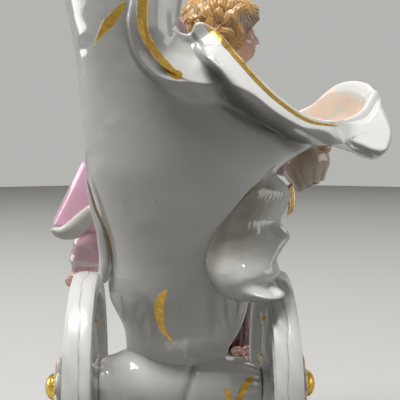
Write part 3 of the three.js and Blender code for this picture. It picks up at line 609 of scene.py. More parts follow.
def plain_wall(t, degrees, inset):
    """Points of the vase before relief; t runs from foot to rim, inset into the wall."""
    t, degrees = np.broadcast_arrays(t, degrees)
    left, right = left_side.at(t), right_side.at(t)
    left_in, right_in = left_side.along(t), right_side.along(t)
    lip = 1 + (SPOUT_LIP - 1) * smooth(0.75, 0.95, t)
    left_x = left[..., 0] + left_in[..., 2] * inset
    left_z = left[..., 2] - left_in[..., 0] * inset
    right_x = right[..., 0] - right_in[..., 2] * inset * lip
    right_z = right[..., 2] + right_in[..., 0] * inset * lip
    c, s = np.cos(np.radians(degrees)), np.sin(np.radians(degrees))
    lean = 7 * bell(degrees, 247, 7) * smooth(0.8, 1, t)
    x = (left_x + right_x) / 2 + (right_x - left_x) / 2 * c + lean
    y = (half_depth.at(t)[..., 0] - inset) * s * (1 - 0.28 * c * smooth(0.55, 0.95, t))
    rise = mouth_rise(degrees) * smooth(0.7 + 0.17 * bell(degrees, 330, 18), 1, t)
    z = (left_z + right_z) / 2 + (right_z - left_z) / 2 * c + rise
    return np.stack([x, y, z], -1)


def notch_shift(degrees):
    """How far the bitten notch moves the mouth's edge in x and z."""
    dense = Path(NOTCH).at(np.linspace(0, 1, 300))
    plain = plain_wall(1.0, dense[:, 0], 0)
    fade = smooth(247, 250, dense[:, 0]) * (1 - smooth(277, 280, dense[:, 0]))
    dx = np.interp(degrees, dense[:, 0], (dense[:, 1] - plain[:, 0]) * fade)
    dz = np.interp(degrees, dense[:, 0], (dense[:, 2] - plain[:, 2]) * fade)
    return dx, dz


def vase_wall(t, degrees, inset):
    """The plain wall with the notch bitten out of its mouth."""
    p = plain_wall(t, degrees, inset)
    dx, dz = notch_shift(degrees)
    share = smooth(0.8, 1, t)
    round_notch = bell(degrees, 251.5, np.where(degrees < 251.5, 8, 4))
    p[..., 0] += dx * share - 10.5 * round_notch * 4 * share * (1 - share)
    p[..., 2] += dz * share
    return p


def vase_relief(p, t, near):
    """Collar, lip ridge, pleat and other forms that stand out from the vase's wall."""
    x, z = p[..., 0], p[..., 2]
    inside, _ = beside(x, z, collar_line)
    width = 1.5 + 5.5 * smooth(-8, 4, x) * (1 - smooth(18, 30, x))
    roll = COLLAR_HEIGHT * smooth(-0.55 * width, 0.5 * width, inside)
    level_off = 1 - 0.75 * smooth(-1, -9, x) * smooth(116, 126, z)
    slope = -0.68 * np.clip(inside - 0.4 * width, 0, 12) * (1 - smooth(16, 34, x)) * level_off
    groove = -0.7 * bell(inside, -1.3, 1.1) * smooth(0, 30, np.abs(x - 5))
    lift = (roll + slope + groove) * smooth(0.5, 0.62, t)
    over, share = beside(x, z, ridge_line)
    neck = smooth(30, 46, x)
    slant = 1 - np.clip((over + 1.2 - 5.5 * neck) / (12.4 - 4 * neck), 0, 1) ** 1.1
    ridge = RIDGE_HEIGHT * smooth(-3.3, -0.9 + 5.5 * neck, over) * smooth(0.06, 0.26, share) * slant
    wedge = -1.8 * bell(over, -4.6, 2.2) * smooth(0.2, 0.45, share) * (1 - smooth(40, 52, x))
    lift += (ridge * (1 - smooth(50, 60, x)) + wedge) * smooth(0.6, 0.75, t) * near
    lift -= 0.7 * smooth(-0.7, 0.9, stroke(x, z, PLEAT)) * near
    fold, _ = beside(x, z, fold_line)
    lift -= 0.6 * bell(fold, 0, 0.7) * smooth(95, 101, z) * (1 - smooth(122, 128, z)) * near
    lift += 0.9 * bell(np.hypot(x + 32.6, z - 125), 0, 1.5) * near
    lift -= 0.5 * bell(np.hypot(x + 32.8, z - 120.6), 0, 1.2) * near
    return lift


def vase_painted_shade(x, z, near):
    """Painted shade and painted dark reflection, a grey in the hollows beside the lip, the notch
    and the collar.
    """
    over, share = beside(x, z, ridge_line)
    wedge = 1.2 * bell(over, -3.1, 2.4) * smooth(0.12, 0.4, share) * (1 - smooth(40, 50, x))
    inside, along = beside(x, z, collar_line)
    edge = 0.8 * bell(inside, -0.9, 0.8) * smooth(0.02, 0.1, along) * (1 - smooth(0.4, 0.55, along))
    notch = 0.8 * smooth(-0.8, 1.2, stroke(x, z, NOTCH_SHADE))
    return np.maximum(np.maximum(wedge, edge), notch) * near


def vase_peach(x, z, depth, s):
    """How strongly the peach wash lies at points of the vase's inner wall."""
    border, _ = beside(x, z, peach_line)
    wash = smooth(-0.6, 1.2, border) * smooth(22, 36, x) * smooth(0.45, 0.8, depth)
    wave = stroke(x, z, WHITE_WAVE)
    return wash * (1 - 0.8 * smooth(-0.6, 0.5, wave) * (s > -0.2))


def spout_lobe(x, z, s, inset):
    """Depth in y of the spout's plump lobe, from the distance inside the spout's outline."""
    depth, _ = beside(x, z, spout_line)
    share = np.maximum(np.clip(-s, 0, 1) + 0 * x, np.clip(depth / 3.2, 0, 1) * (inset == 0))
    full = np.sqrt(1 - (1 - share) ** 2)
    return full * (1.2 * inset - LOBE_HEIGHT + 0.8 * np.maximum(z - 87, 0))


def gilt_band(x, z, t, s):
    """How deep points lie inside the gilt band under the mouth's near edge."""
    rim = vase_wall(1.0, np.linspace(BAND_START, BAND_END, 120), np.zeros(120))[:, [0, 2]]
    below, share = beside(x, z, rim)
    width = np.interp(share.ravel(), *zip(*BAND)).reshape(x.shape)
    cream = 0.3 * smooth(0.16, 0.34, share)
    band = width / 2 - np.abs(np.abs(below) - cream - width / 2)
    return np.where((s < 0) & (t > 0.8) & (share > 0.001) & (share < 0.999), band, BARE)


def vase_rows(wall):
    """Place from foot to rim, share of the wall's thickness, and share of the turn over the rim."""
    floor = (FOOT_HEIGHT + wall) / (LEFT_SIDE[-1][1] - LEFT_SIDE[0][1])
    turn = np.linspace(0, math.pi, 17)[1:-1]
    rows = [(t, 0, 0) for t in np.linspace(0, 1, 191)]
    rows += [(1, (1 - math.cos(a)) / 2, a / math.pi) for a in turn]
    rows += [(t, 1, 1) for t in np.linspace(1, floor, 44)]
    return columns(rows)


def vase_clay(wall, rounding):
    """The vase in one skin: up the outer wall, over the rim and down the inner wall."""
    dense = np.linspace(0, 360, 3601)
    weight = 1 + 2.6 * bell(dense, 262, 9) + 0.7 * bell(dense, 292, 30)
    weight += 2 * bell(dense, KNOB_MIDDLE, 4)
    run = np.concatenate([[0], np.cumsum((weight[1:] + weight[:-1]) / 2)])
    degrees = np.interp(np.arange(COLUMNS) / COLUMNS * run[-1], run, dense)[None]
    s, c = np.sin(np.radians(degrees)), np.cos(np.radians(degrees))
    t, inset, even = vase_rows(wall)
    rise = np.sin(math.pi * even)
    tip = smooth(312, 334, degrees) + 1 - smooth(26, 48, degrees)
    inset = wall * (inset + (even - inset) * tip)
    p = vase_wall(t, degrees, inset)
    x, z = p[..., 0], p[..., 2]
    band = gilt_band(x, z, t, s)
    near = smooth(0.05, -0.15, s) + 0 * t
    outward = unit(np.stack([0.35 * c * (1 - smooth(48, 62, x)), s + 0 * x, 0 * x], -1))
    lift = vase_relief(p, t, near)
    p = p + outward * (lift * np.abs(s) ** 0.7)[..., None]
    p[..., 1] += (spout_lobe(x, z, s, inset) - p[..., 1]) * smooth(45, 62, x) * (s < 0)
    knobs = sum(height * bell(degrees, at, spread) for at, spread, height in KNOBS)
    p[..., 2] += KNOB_HEIGHT * knobs * smooth(0.97, 1, t)
    p[..., 2] += rise * (rounding + SPOUT_ROLL * tip) + AXLE
    outer = (inset < 0.01 * wall).astype(float)
    x, z = p[..., 0], p[..., 2] - AXLE
    gilt = strokes(x, z, [COLLAR_STROKE, COMMA_STROKE, CRESCENT_STROKE])
    gilt = np.where(outer > 0, gilt, BARE)
    gilt = np.maximum(gilt, np.where(inset < 0.2 * wall, band, BARE))
    line = np.where((degrees > 70) & (degrees < 245), 0.5 - 2 * np.abs(inset - 0.35 * wall), BARE)
    gilt = np.maximum(gilt, np.where(t > 0.999, line, BARE))
    edge = smooth(0, 0.3 * wall, inset) * (1 - smooth(0.6 * wall, wall, inset)) * (1 - tip)
    values = {
        "gilt": gilt,
        # Painted shade where the relief sinks
        "hollow": np.clip(-lift, 0, 1) * outer,
        # Painted shade and dark reflection under the lip, by the notch and along the collar
        "painted_shade": vase_painted_shade(x, z, near) * outer,
        # Painted shade on the far rim's knobs, a pinkish grey
        "far_rim_shade": 1.3 * bell(degrees, KNOB_MIDDLE, 3) * smooth(0.94, 1, t) + 0 * x,
        "peach": vase_peach(x, z, inset / wall, s),
        "edge": edge + 0 * x,
    }
    return closed_loft(p, **values)


# Wheels: side is -1 for the left wheel and 1 for the right

WHEEL_RADIUS = 42
WHEEL_INNER = 29.6
WHEEL_OUTER = 38.5
WHEEL_MIDDLE = (WHEEL_INNER + WHEEL_OUTER) / 2
RIM_DEPTH = 8
SPOKE_RING = 29.6
NAVE_END = WHEEL_OUTER + 3.4
ROSETTE_RADIUS = 13
ROSETTE_THICKNESS = 3.6
CAP_START = NAVE_END + 0.6 + 0.85 * ROSETTE_THICKNESS
CAP_RADIUS = 4.9
BEAD_RING = 5.35


def resampled(profile, spacing, closed=False):
    """The same profile with points at about the given spacing."""
    points = np.array(profile, float)
    if closed:
        points = np.vstack([points, points[:1]])
    run = np.concatenate([[0], np.cumsum(np.linalg.norm(np.diff(points, axis=0), axis=1))])
    count = int(run[-1] / spacing)
    at = np.linspace(0, run[-1], count, endpoint=not closed)
    return np.stack([np.interp(at, run, points[:, k]) for k in (0, 1)], 1)


def wheel_rim(side):
    inner, outer = side * WHEEL_INNER, side * WHEEL_OUTER
    hollow = WHEEL_RADIUS - RIM_DEPTH
    step = 0.7 * side
    corners = [
        (inner, hollow + 0.6), (inner, hollow + 1.6), (inner + step, hollow + 2.2),
        (inner + step, WHEEL_RADIUS - 2.6), (inner, WHEEL_RADIUS - 2), (inner, WHEEL_RADIUS - 0.4),
        (inner + 1.4 * side, WHEEL_RADIUS), (outer - 1.4 * side, WHEEL_RADIUS),
        (outer, WHEEL_RADIUS - 0.4), (outer, WHEEL_RADIUS - 2), (outer - step, WHEEL_RADIUS - 2.6),
        (outer - step, hollow + 2.2), (outer, hollow + 1.6), (outer, hollow + 0.6),
        (outer - 1.4 * side, hollow), (inner + 1.4 * side, hollow),
    ]
    profile = resampled(rounded(corners, 0.9, closed=True), 0.42, closed=True)
    x, radius = profile[:, :1], profile[:, 1:]
    angle = around(240)[None]
    middle = side * WHEEL_MIDDLE
    wander = np.sin(3 * angle + side) + 0.5 * np.sin(8 * angle + 2) + 0.3 * np.sin(17 * angle)
    tread = smooth(WHEEL_RADIUS - 1, WHEEL_RADIUS - 0.3, radius)
    seam = bell(x - middle + 0.6 * side - 0.7 * wander, 0, 0.2) * tread
    side_seam = bell(x - middle - 2.1 * side - 0.5 * np.sin(5 * angle), 0, 0.16) * tread
    side_seam = side_seam * smooth(0.2, 0.6, np.sin(2 * angle + 0.6))
    crack = np.maximum(seam, side_seam)
    bead = np.abs(radius - (hollow + 1.1)) + 3 * (np.abs(x - outer) > 0.4)
    gilt = 0.4 - bead + 0 * angle

    def swell(px, pa):
        crown = tread * (0.25 * (1 - ((px - middle) / 4.5) ** 2) - 0.44)
        hand = 0.12 * np.sin(7 * pa + 0.4 * px) + 0.08 * np.sin(19 * pa - 0.9 * px)
        return crown + hand - 0.22 * crack

    return turned(profile, 240, swell=swell, closed=True, gilt=gilt, hollow=0.9 * crack)


def nave(side):
    inner, outer = side * WHEEL_INNER, side * WHEEL_OUTER
    end = side * NAVE_END
    corners = [
        (inner, 0.1), (inner, 6.6), (inner + 1.6 * side, 7.2), (inner + 2.4 * side, 8.3),
        (inner + 6.4 * side, 8.5), (outer - 0.6 * side, 7.6), (outer + 0.5 * side, 6.4),
        (outer + 1.8 * side, 6.5), (end - 0.4 * side, 7.8), (end, 7.4), (end, 0.1),
    ]
    profile = resampled(rounded(corners, 0.8), 0.3)
    gilt = 0.45 - np.abs(np.abs(profile[:, 0]) - (NAVE_END - 0.7)) - 2 * (profile[:, 1] < 7)
    return turned(profile, 96, gilt=gilt)


def spoke_mesh(name, side, finish):
    """One turned spoke, on its wheel's own middle plane and pointing up from the frame's origin."""
    stops = [
        (5, 2.0), (8.2, 2.1), (9.2, 1.5), (10.4, 1.7), (13, 2.5), (16.7, 2.7), (21, 2.2),
        (26, 1.6), (28.5, 1.5), (SPOKE_RING, 2.2), (30.8, 1.6), (33, 1.9), (36.8, 2.2),
    ]
    profile = Path([(z, r, 0) for z, r in stops]).at(np.linspace(0, 1, 40))
    angle = around(20)[None]
    z, radius = profile[:, :1], profile[:, 1:2]
    middle = side * WHEEL_MIDDLE
    rings = np.stack([middle + radius * np.cos(angle), radius * np.sin(angle), z + 0 * angle], -1)
    gilt = 0.5 - np.abs(z - SPOKE_RING) + 0 * angle
    clay = closed_loft(rings, gilt=gilt)
    clay.points = clay.points - [0, *ORIGIN[1:]]
    return mesh_of(name, clay, [finish])


def rosette(side, petals):
    thickness, reach = ROSETTE_THICKNESS, ROSETTE_RADIUS
    rows = [(0.30, 0), (0.55, 0.02), (0.8, 0.10), (0.95, 0.30), (1.0, 0.45)]
    angle = around(192)[None]
    lobe = np.abs(np.sin(petals * angle / 2))
    rings = []
    for share, rise in rows:
        radius = reach * share * (1 - 0.16 * (1 - lobe))
        rings.append((radius, thickness * rise + 0 * angle, -2 + 0 * angle))
    for share in np.linspace(0.99, 0.28, 30):
        cup = math.sin(math.pi * np.clip((1.05 - share) / 0.72, 0, 1)) ** 0.7
        vein = 0.25 * bell(lobe, 1, 0.05) * cup
        inner_lobe = np.abs(np.cos(petals * angle / 2))
        second = smooth(0.66, 0.6, share) * inner_lobe**0.6 * 0.22
        height = 0.45 + 0.4 * cup * lobe**0.55 + second - 0.35 * vein
        radius = reach * share * (1 - 0.16 * (1 - lobe) * smooth(0.3, 0.9, share))
        rings.append((radius, thickness * height, 0.45 - reach * (0.99 - share) + 0 * angle))
    radius, height, gilt = (np.concatenate(part) for part in zip(*rings))
    x = side * (NAVE_END + 0.3 + np.clip(height, 0, 3.3))
    return closed_loft(about_axle(x, radius, angle), gilt=gilt)


def hub_cap(side):
    foot = CAP_START - 1.2
    crown = CAP_START + 0.5
    profile = [(foot, 0.1), (foot, 5.2), (CAP_START, 5.3), (crown, CAP_RADIUS)]
    profile += [(crown + 3.4 * math.sin(a), CAP_RADIUS * math.cos(a) + 0.01)
                for a in np.linspace(0.05, 0.5, 24) * math.pi]
    return turned([(side * x, radius) for x, radius in profile], 64)


# Axle body: (share of its half length, radius) from left to right, and its gilt strokes, of
# which the last one comes back behind

AXLE_PROFILE = [
    (-1, 9.4), (-0.94, 10.8), (-0.84, 11.8), (-0.7, 13.4), (-0.4, 12.8), (-0.08, 11),
    (0.14, 11.3), (0.44, 11.2), (0.68, 10.2), (0.86, 8.4), (1, 6),
]
AXLE_STROKES = [
    [(15.2, 2.2, 0.3), (16.2, 0.6, 1.0), (16.6, -2.4, 1.2), (15.2, -6.2, 0.9), (12.6, -8.6, 0.2)],
    [(24.8, 4.4, 0.9), (22.6, 2.2, 1.4), (20.8, -1.2, 1.3), (19.6, -5.4, 0.8), (17, -8.4, 0.15)],
    [(-20, -3, 0.2), (-16, -5.4, 0.9), (-11, -5.8, 1.1), (-6.6, -4.4, 0.8), (-4.4, -2, 0.2)],
]


def axle_clay():
    half = WHEEL_INNER - 0.4
    curve = Path([(half * share, radius, 0) for share, radius in AXLE_PROFILE])
    profile = curve.at(np.linspace(0, 1, 150))[:, :2]
    profile = np.vstack([[profile[0, 0], 0.2], profile, [profile[-1, 0], 0.2]])
    profile = resampled(rounded(profile, 1.0), 0.45)
    angle = around(200)[None]
    x = profile[:, :1]
    height = profile[:, 1:] * np.sin(angle)
    turned_round = [(-sx, sz, w) for sx, sz, w in AXLE_STROKES[-1]]
    front = strokes(x + 0 * angle, height, AXLE_STROKES)
    back = strokes(x + 0 * angle, height, [turned_round])
    gilt = np.where(np.cos(angle) < 0, front, back)

    def swell(px, pa):
        scroll = 0.55 * np.sin(0.42 * px + 2 * np.sin(pa)) * bell(px, -16, 9)
        cleft = -1.1 * bell(px - 1.5 - 3 * np.sin(pa), 0, 1.3)
        lobe = 0.7 * bell(px, -17, 5) * bell(np.sin(pa), 0.2, 0.5)
        return (scroll + cleft + lobe) * smooth(30, 27, np.abs(px))

    # Painted shade in the cleft between the two lobes
    hollow = 0.7 * bell(x - 1.5 - 3 * np.sin(angle), 0, 1.0)
    return turned(profile, 200, swell=swell, gilt=gilt, hollow=hollow)


# Applied leaf and trims: (x, y, height above the axle)

LEAF_LEFT = [
    (27.9, -14, 76.7), (22.3, -18, 72.9), (16, -20.5, 66.7), (11.5, -21.5, 60.7),
    (8.6, -22, 53.7), (7.8, -22, 47.7), (10.2, -21.5, 41.3), (16, -22, 37.1),
]
LEAF_RIGHT = [
    (33.4, -4, 77.9), (38.6, -4, 71.7), (36.5, -6, 64.2), (35.4, -9, 56.7),
    (32.4, -12, 49.2), (33, -18, 43.7), (33.2, -22.5, 39.7), (26, -23.5, 36.5),
]

# Lobes and bites of the leaf's right edge, as (share down the leaf, reach, width)
LEAF_LOBES = [(0.34, -1.4, 0.028), (0.43, 1.8, 0.032), (0.56, -0.5, 0.03), (0.65, 0.7, 0.03),
              (0.76, -2.2, 0.05), (0.91, 2.6, 0.04)]


def leaf_clay():
    left = Path([(x, y, AXLE + z) for x, y, z in LEAF_LEFT])
    right = Path([(x, y, AXLE + z) for x, y, z in LEAF_RIGHT])
    t = np.linspace(0, 1, 150)
    start, end = left.at(t), right.at(t)
    for where, reach, width in LEAF_LOBES:
        end[:, 0] += reach * bell(t, where, width)
    half = (end - start) / 2
    centre = start + half
    outward = unit(np.stack([half[:, 1], -half[:, 0], 0 * t], -1))
    angle = around(150)[None]
    across, depth = np.cos(angle), np.sin(angle)
    t = t[:, None]
    front = np.clip(depth, 0, 1)
    below = t - 0.53 + 0.13 * across
    shelf = 4.6 + 1.8 * smooth(0, 0.8, across)
    shelf = shelf * smooth(-0.13, 0.12, below) * smooth(1.04, 0.86, t)
    thickness = 0.8 + 3.4 * np.sin(math.pi * np.clip(0.02 + 0.95 * t, 0, 1)) ** 0.8 + shelf
    fan = across * (1.0 - 0.25 * t)
    fine = 0.055 * np.cos(TURN * 19 * fan) * smooth(1.0, 0.3, np.abs(across)) * smooth(1, 0.7, t)
    fine = fine + (0.05 * np.cos(TURN * 3.5 * (fan + 0.1)) * smooth(0.1, 0.4, t)
                   * smooth(0.9, 0.6, t))
    fold = 1.0 * bell(across - 0.95 + 3.2 * (t - 0.43), 0, 0.26) * smooth(0.36, 0.46, t)
    fold = fold * smooth(0.84, 0.7, t)
    hook = 2.6 * bell(t - 0.87 - 0.04 * across, 0, 0.035) * smooth(-0.3, 0.5, across)
    valley = -1.9 * bell(t - 0.77, 0, 0.035) * smooth(0.0, 0.8, across)
    frill = 0.5 * np.cos(7 * TURN * across) * smooth(0.9, 0.98, t)
    relief = (fine + fold + hook + valley + frill) * front
    points = centre[:, None] + half[:, None] * across[..., None]
    points = points + outward[:, None] * (thickness * depth + relief)[..., None]
    band = smooth(0.10, 0.16, t) * smooth(0.32, 0.26, t)
    gilt = 0.5 - np.abs(across - 0.985) * 25 - 2 * (1 - band) - 1.5 * (depth < -0.4)
    # Painted shade: in the valley, as a shadow line along the left edge, and with a browner tone
    # over the upper left, where it also stands for dark reflection
    hollow = 0.9 * bell(valley / 1.9, -1, 0.4)
    hollow = hollow + 0.8 * smooth(-0.6, -0.98, across) * smooth(0.2, 0.4, t)
    hollow = hollow + 0.55 * smooth(0.5, -0.6, across) * smooth(0.85, 0.3, t) * front
    warm = smooth(0.7, -0.6, across) * smooth(0.8, 0.35, t) * smooth(-0.05, 0.15, t)
    return closed_loft(points, gilt=gilt, hollow=hollow, warm=warm + 0 * across)


def scroll_rib():
    stops = [
        (-33.0, -7, AXLE + 77.2, 0.5), (-30.3, -8, AXLE + 66.2, 1.2), (-27.8, -8, AXLE + 59, 1.9),
        (-26.5, -7, AXLE + 52.5, 2.5), (-26.3, -6.5, AXLE + 46.5, 2.5),
        (-27.0, -6.5, AXLE + 39.7, 0.9),
    ]
    off = lambda a, at: np.abs(wrapped(a - at))
    seam = lambda width, start, end, at: lambda t, a: (
        width * smooth(0, start, t) * smooth(end, 0.6, t) - 2.4 * off(a, at))
    # The hollow value is painted shade in the groove beside the gilt line
    line = {"gilt": seam(0.36, 0.1, 0.86, -2.56), "line": seam(0.62, 0.06, 0.9, -2.42),
            "hollow": lambda t, a: 1.3 * bell(off(a, -2.05), 0, 0.14) * smooth(0.9, 0.7, t)}
    groove = lambda t, a: -0.35 * bell(off(a, -2.0), 0, 0.2)
    return limb(stops, 64, 110, swell=groove, ends=(0.05, 0.05), tints=line)


def drop_clay():
    """Three thin strands that hang from one small knot."""
    made = ball((39.2, -4.1, AXLE + 73.2), fluted(1.15, 0.08, 5), 32, 20,
                tints={"hollow": lambda d: 0.8 + 0 * d[..., 0]})
    for k, lean in enumerate((-0.75, 0.05, 0.8)):
        x = 39.2 + 0.5 * lean
        stops = [(x, -4.2, AXLE + 73, 0.5), (x + 0.45 * lean, -4.6, AXLE + 70, 0.55),
                 (x + 0.3 * lean, -5.2, AXLE + 66.6, 0.5),
                 (x - 0.6 + 0.5 * lean, -5.9, AXLE + 62.8 + 0.7 * k, 0.35)]
        made = made + limb(stops, 24, 40, ends=(0.05, 0.1))
    return made


# Base and mound

BASE_TOP = 12
BASE_HALF_WIDTH = 54
BASE_HALF_DEPTH = 56
BASE_Y = 24
SCALLOP = 1.2
MOUND_TOP = 42
MOUND_Y = 60.5


def base_ring(inset, z, angle):
    c, s = np.cos(angle), np.sin(angle)
    corner = squared(angle, 3.2)
    draw_in = inset + 0.12 + SCALLOP * (1 - np.cos(8 * angle))
    x = (BASE_HALF_WIDTH - draw_in) * corner * c
    y = BASE_Y + (BASE_HALF_DEPTH - draw_in) * corner * s
    return np.stack([x, y, z + 0 * angle], -1)


def base_clay():
    stops = [(1.2, 0), (0.2, 0.5), (0, 1.6), (0, 3.6), (1.0, 4.6), (2.6, 5.6), (3.3, 6.8),
             (3.4, 8), (2.8, 9.4), (2.2, 10.2), (2.3, 11), (3, 11.7), (4.2, BASE_TOP)]
    profile = Path([(i, z, 0) for i, z in stops]).at(np.linspace(0, 1, 60))
    inward = [(4.2 + 49 * share, BASE_TOP, 0) for share in np.linspace(0.02, 1, 50) ** 1.2]
    rows = np.vstack([[(30, 0, 0), (10, 0, 0)], profile, inward])
    angle = around(320)[None]
    inset, z = rows[:, :1], rows[:, 1:2]
    points = base_ring(inset, z, angle)
    top = smooth(6, 12, inset) * (z > 11)
    points[..., 2] -= top * (0.25 + 0.25 * ripple(points, 24, 3))
    gilt = np.maximum(0.55 - np.abs(inset - 3.2) - 4 * (z < 11.2), 0.5 - np.abs(z - 4.2))
    gilt = np.maximum(gilt, 0.45 - np.abs(inset - 6.4) - 4 * (z < 11.9)) + 0 * angle
    moss = top * (0.5 + 0.9 * ripple(points, 22, 9)) * smooth(12, 20, inset)
    # The hollow value is painted shade under the row of beads
    return closed_loft(points, gilt=gilt, moss=moss, hollow=bell(z, 6.4, 0.9) * (inset < 5))


def mound_clay():
    floor = BASE_TOP + 0.3
    climb = MOUND_TOP - floor
    shares = [(1, 0), (0.99, 0.25), (0.93, 0.5), (0.95, 0.72), (0.92, 0.93), (0.86, 1)]
    sides = Path([(share, floor + rise * climb, 0) for share, rise in shares])
    rows = sides.at(np.linspace(0, 1, 90))[:, :2]
    top = [(share, MOUND_TOP) for share in np.linspace(0.85, 0.04, 46)]
    rows = np.vstack([rows, top])
    angle = around(240)[None]
    share, z = rows[:, :1], rows[:, 1:]
    rock = 1 + 0.05 * np.sin(3 * angle + z / 9) + 0.03 * np.sin(7 * angle - z / 5)
    x = 41 * share * rock * np.cos(angle)
    y = MOUND_Y + 17 * share * rock * np.sin(angle)
    points = np.stack([x, y, z + 0 * angle], -1)
    centre = np.array([0, MOUND_Y, 0])
    crag = ripple(points, 11, 21)
    ledge = np.abs(ripple(points * [1, 1, 2.2], 15, 5)) ** 0.5
    cut = -(0.9 + 0.9 * crag + 1.4 * (1 - ledge))
    side = smooth(0.86, 0.9, share) * smooth(0, 3, z - floor)
    outward = unit((points - centre) * [1, 2.4, 0])
    points = points + outward * np.minimum(cut * side, 0)[..., None]
    points[..., 2] -= (1 - side) * smooth(0.9, 0.8, share) * (0.2 + 0.2 * ripple(points, 9, 2))
    high = smooth(floor + 0.55 * climb, MOUND_TOP, z)
    # The hollow value is painted shade in the clefts
    return closed_loft(points, moss=high * 1.1 - 0.35 + 0.5 * ripple(points, 9, 8),
                       earth=(1 - ledge) * 1.6 - 0.4 + 0.4 * ripple(points, 6, 4) + 0 * x,
                       hollow=np.clip(1.3 - 2.2 * ledge, 0, 1) * side)


def stump_clay():
    x, y = 25, 66
    stops = [
        (x - 1, y, MOUND_TOP - 1, 10.4, 8), (x, y, MOUND_TOP + 6, 8, 6.4),
        (x + 1, y, MOUND_TOP + 24, 7, 5.8), (x, y, MOUND_TOP + 40, 7.8, 6.2),
    ]

    def bark(t, a):
        wander = 0.8 * np.sin(7 * t + 2 * a) + 0.5 * np.sin(19 * t - a)
        ridges = np.abs(np.sin(6 * a + wander)) + 0.5 * np.abs(np.sin(11 * a - 2 * wander))
        knots = 0.9 * bell(np.hypot(wrapped(a - 4.2) / 0.35, (t - 0.55) / 0.08), 0, 1)
        roots = 1.2 * np.cos(5 * a + 0.6) * smooth(0.25, 0, t)
        return 0.5 * ridges - 0.6 + knots + roots

    # The hollow tint is painted shade in the bark's grooves
    return limb(stops, 120, 130, swell=bark, ends=(0, 0.02),
                tints={"hollow": lambda t, a: smooth(-0.2, -0.55, bark(t, a))})


# Figure, walking behind the cart; heights are shares of its height above its soles

FIGURE = 156
SOLE = 42.3
FIGURE_Y = 51
NEAR_Y = 46
FAR_Y = 56
HIP_X = -19
SHOULDER_X = 10
HEAD = np.array([22, FIGURE_Y, SOLE + 0.915 * FIGURE])
HEAD_HALF = 12.5
LOCKS = 84
STRANDS = 62
PLEATS = 7
SCALLOPS = 9
TAIL_LENGTH = 36
BUTTON_SPACING = 4.6


def level(share):
    return SOLE + share * FIGURE


def body_limb(stops, *details, **named):
    """Limb of the figure, whose half widths and depths are percents of its height."""
    scaled = [(x, y, z, w * FIGURE / 100, d * FIGURE / 100) for x, y, z, w, d in stops]
    return limb(scaled, *details, **named)


# Forms of the face as (height, forward, side, up, half width, half height), on both sides
FACE_FORMS = [
    (-0.075, 0.9, 0.36, 0.10, 0.17, 0.09), (0.030, 0.9, 0.36, 0.06, 0.09, 0.06),
    (0.028, 0.9, 0.33, 0.26, 0.20, 0.05), (0.12, 1, 0, -0.06, 0.065, 0.13),
    (0.09, 1, 0, -0.17, 0.08, 0.06), (0.04, 1, 0.10, -0.20, 0.05, 0.04),
    (0.045, 1, 0.03, -0.37, 0.14, 0.035), (0.045, 1, 0.02, -0.47, 0.12, 0.04),
    (-0.035, 1, 0, -0.42, 0.16, 0.018), (0.05, 1, 0, -0.70, 0.16, 0.10),
    (0.03, 0.8, 0.5, -0.2, 0.2, 0.16),
]
# Its tints as (value at their edge, forward, side, up, half width, half height)
FACE_TINTS = {
    "lip": (0.5, 1, 0, -0.42, 0.11, 0.055), "cheek": (0, 0.8, 0.5, -0.22, 0.22, 0.16),
    "brow": (0.55, 0.9, 0.36, 0.27, 0.15, 0.018), "eye": (0.5, 0.9, 0.36, 0.07, 0.075, 0.032),
    "iris": (0.55, 0.9, 0.36, 0.07, 0.032, 0.034),
}


def head_clay():
    mirrored = lambda d: (d[..., 0], np.abs(d[..., 1]), d[..., 2])

    def spot(d, forward, side, up, wide, tall):
        aim = unit(np.array([forward, side, up]))
        x, y, z = mirrored(d)
        gap = np.hypot((y - aim[1]) / wide, (z - aim[2]) / tall)
        return np.exp(-0.5 * gap**2) * (x > 0)

    def radius(d):
        x, y, z = mirrored(d)
        skull = 1 / np.sqrt((x / 0.8) ** 2 + (y / 0.64) ** 2 + z**2)
        jaw = 0.08 * np.exp(-0.5 * (np.linalg.norm(d - [0.75, 0, -0.66], axis=-1) / 0.3) ** 2)
        temples = -0.05 * bell(z, 0.1, 0.2) * bell(y, 0.7, 0.2)
        form = sum(height * spot(d, *where) for height, *where in FACE_FORMS)
        from_ear = np.hypot((d[..., 0] + 0.02) / 0.10, (z + 0.02) / 0.17)
        ear = 0.10 * np.exp(-0.5 * from_ear ** 2) * (y > 0.7)
        return HEAD_HALF * (skull + jaw + temples + form + ear)

    tint = lambda edge, *where: lambda d: spot(d, *where) - edge
    tints = {name: tint(*mark) for name, mark in FACE_TINTS.items()}
    return ball(HEAD, radius, 200, 150, tints=tints)


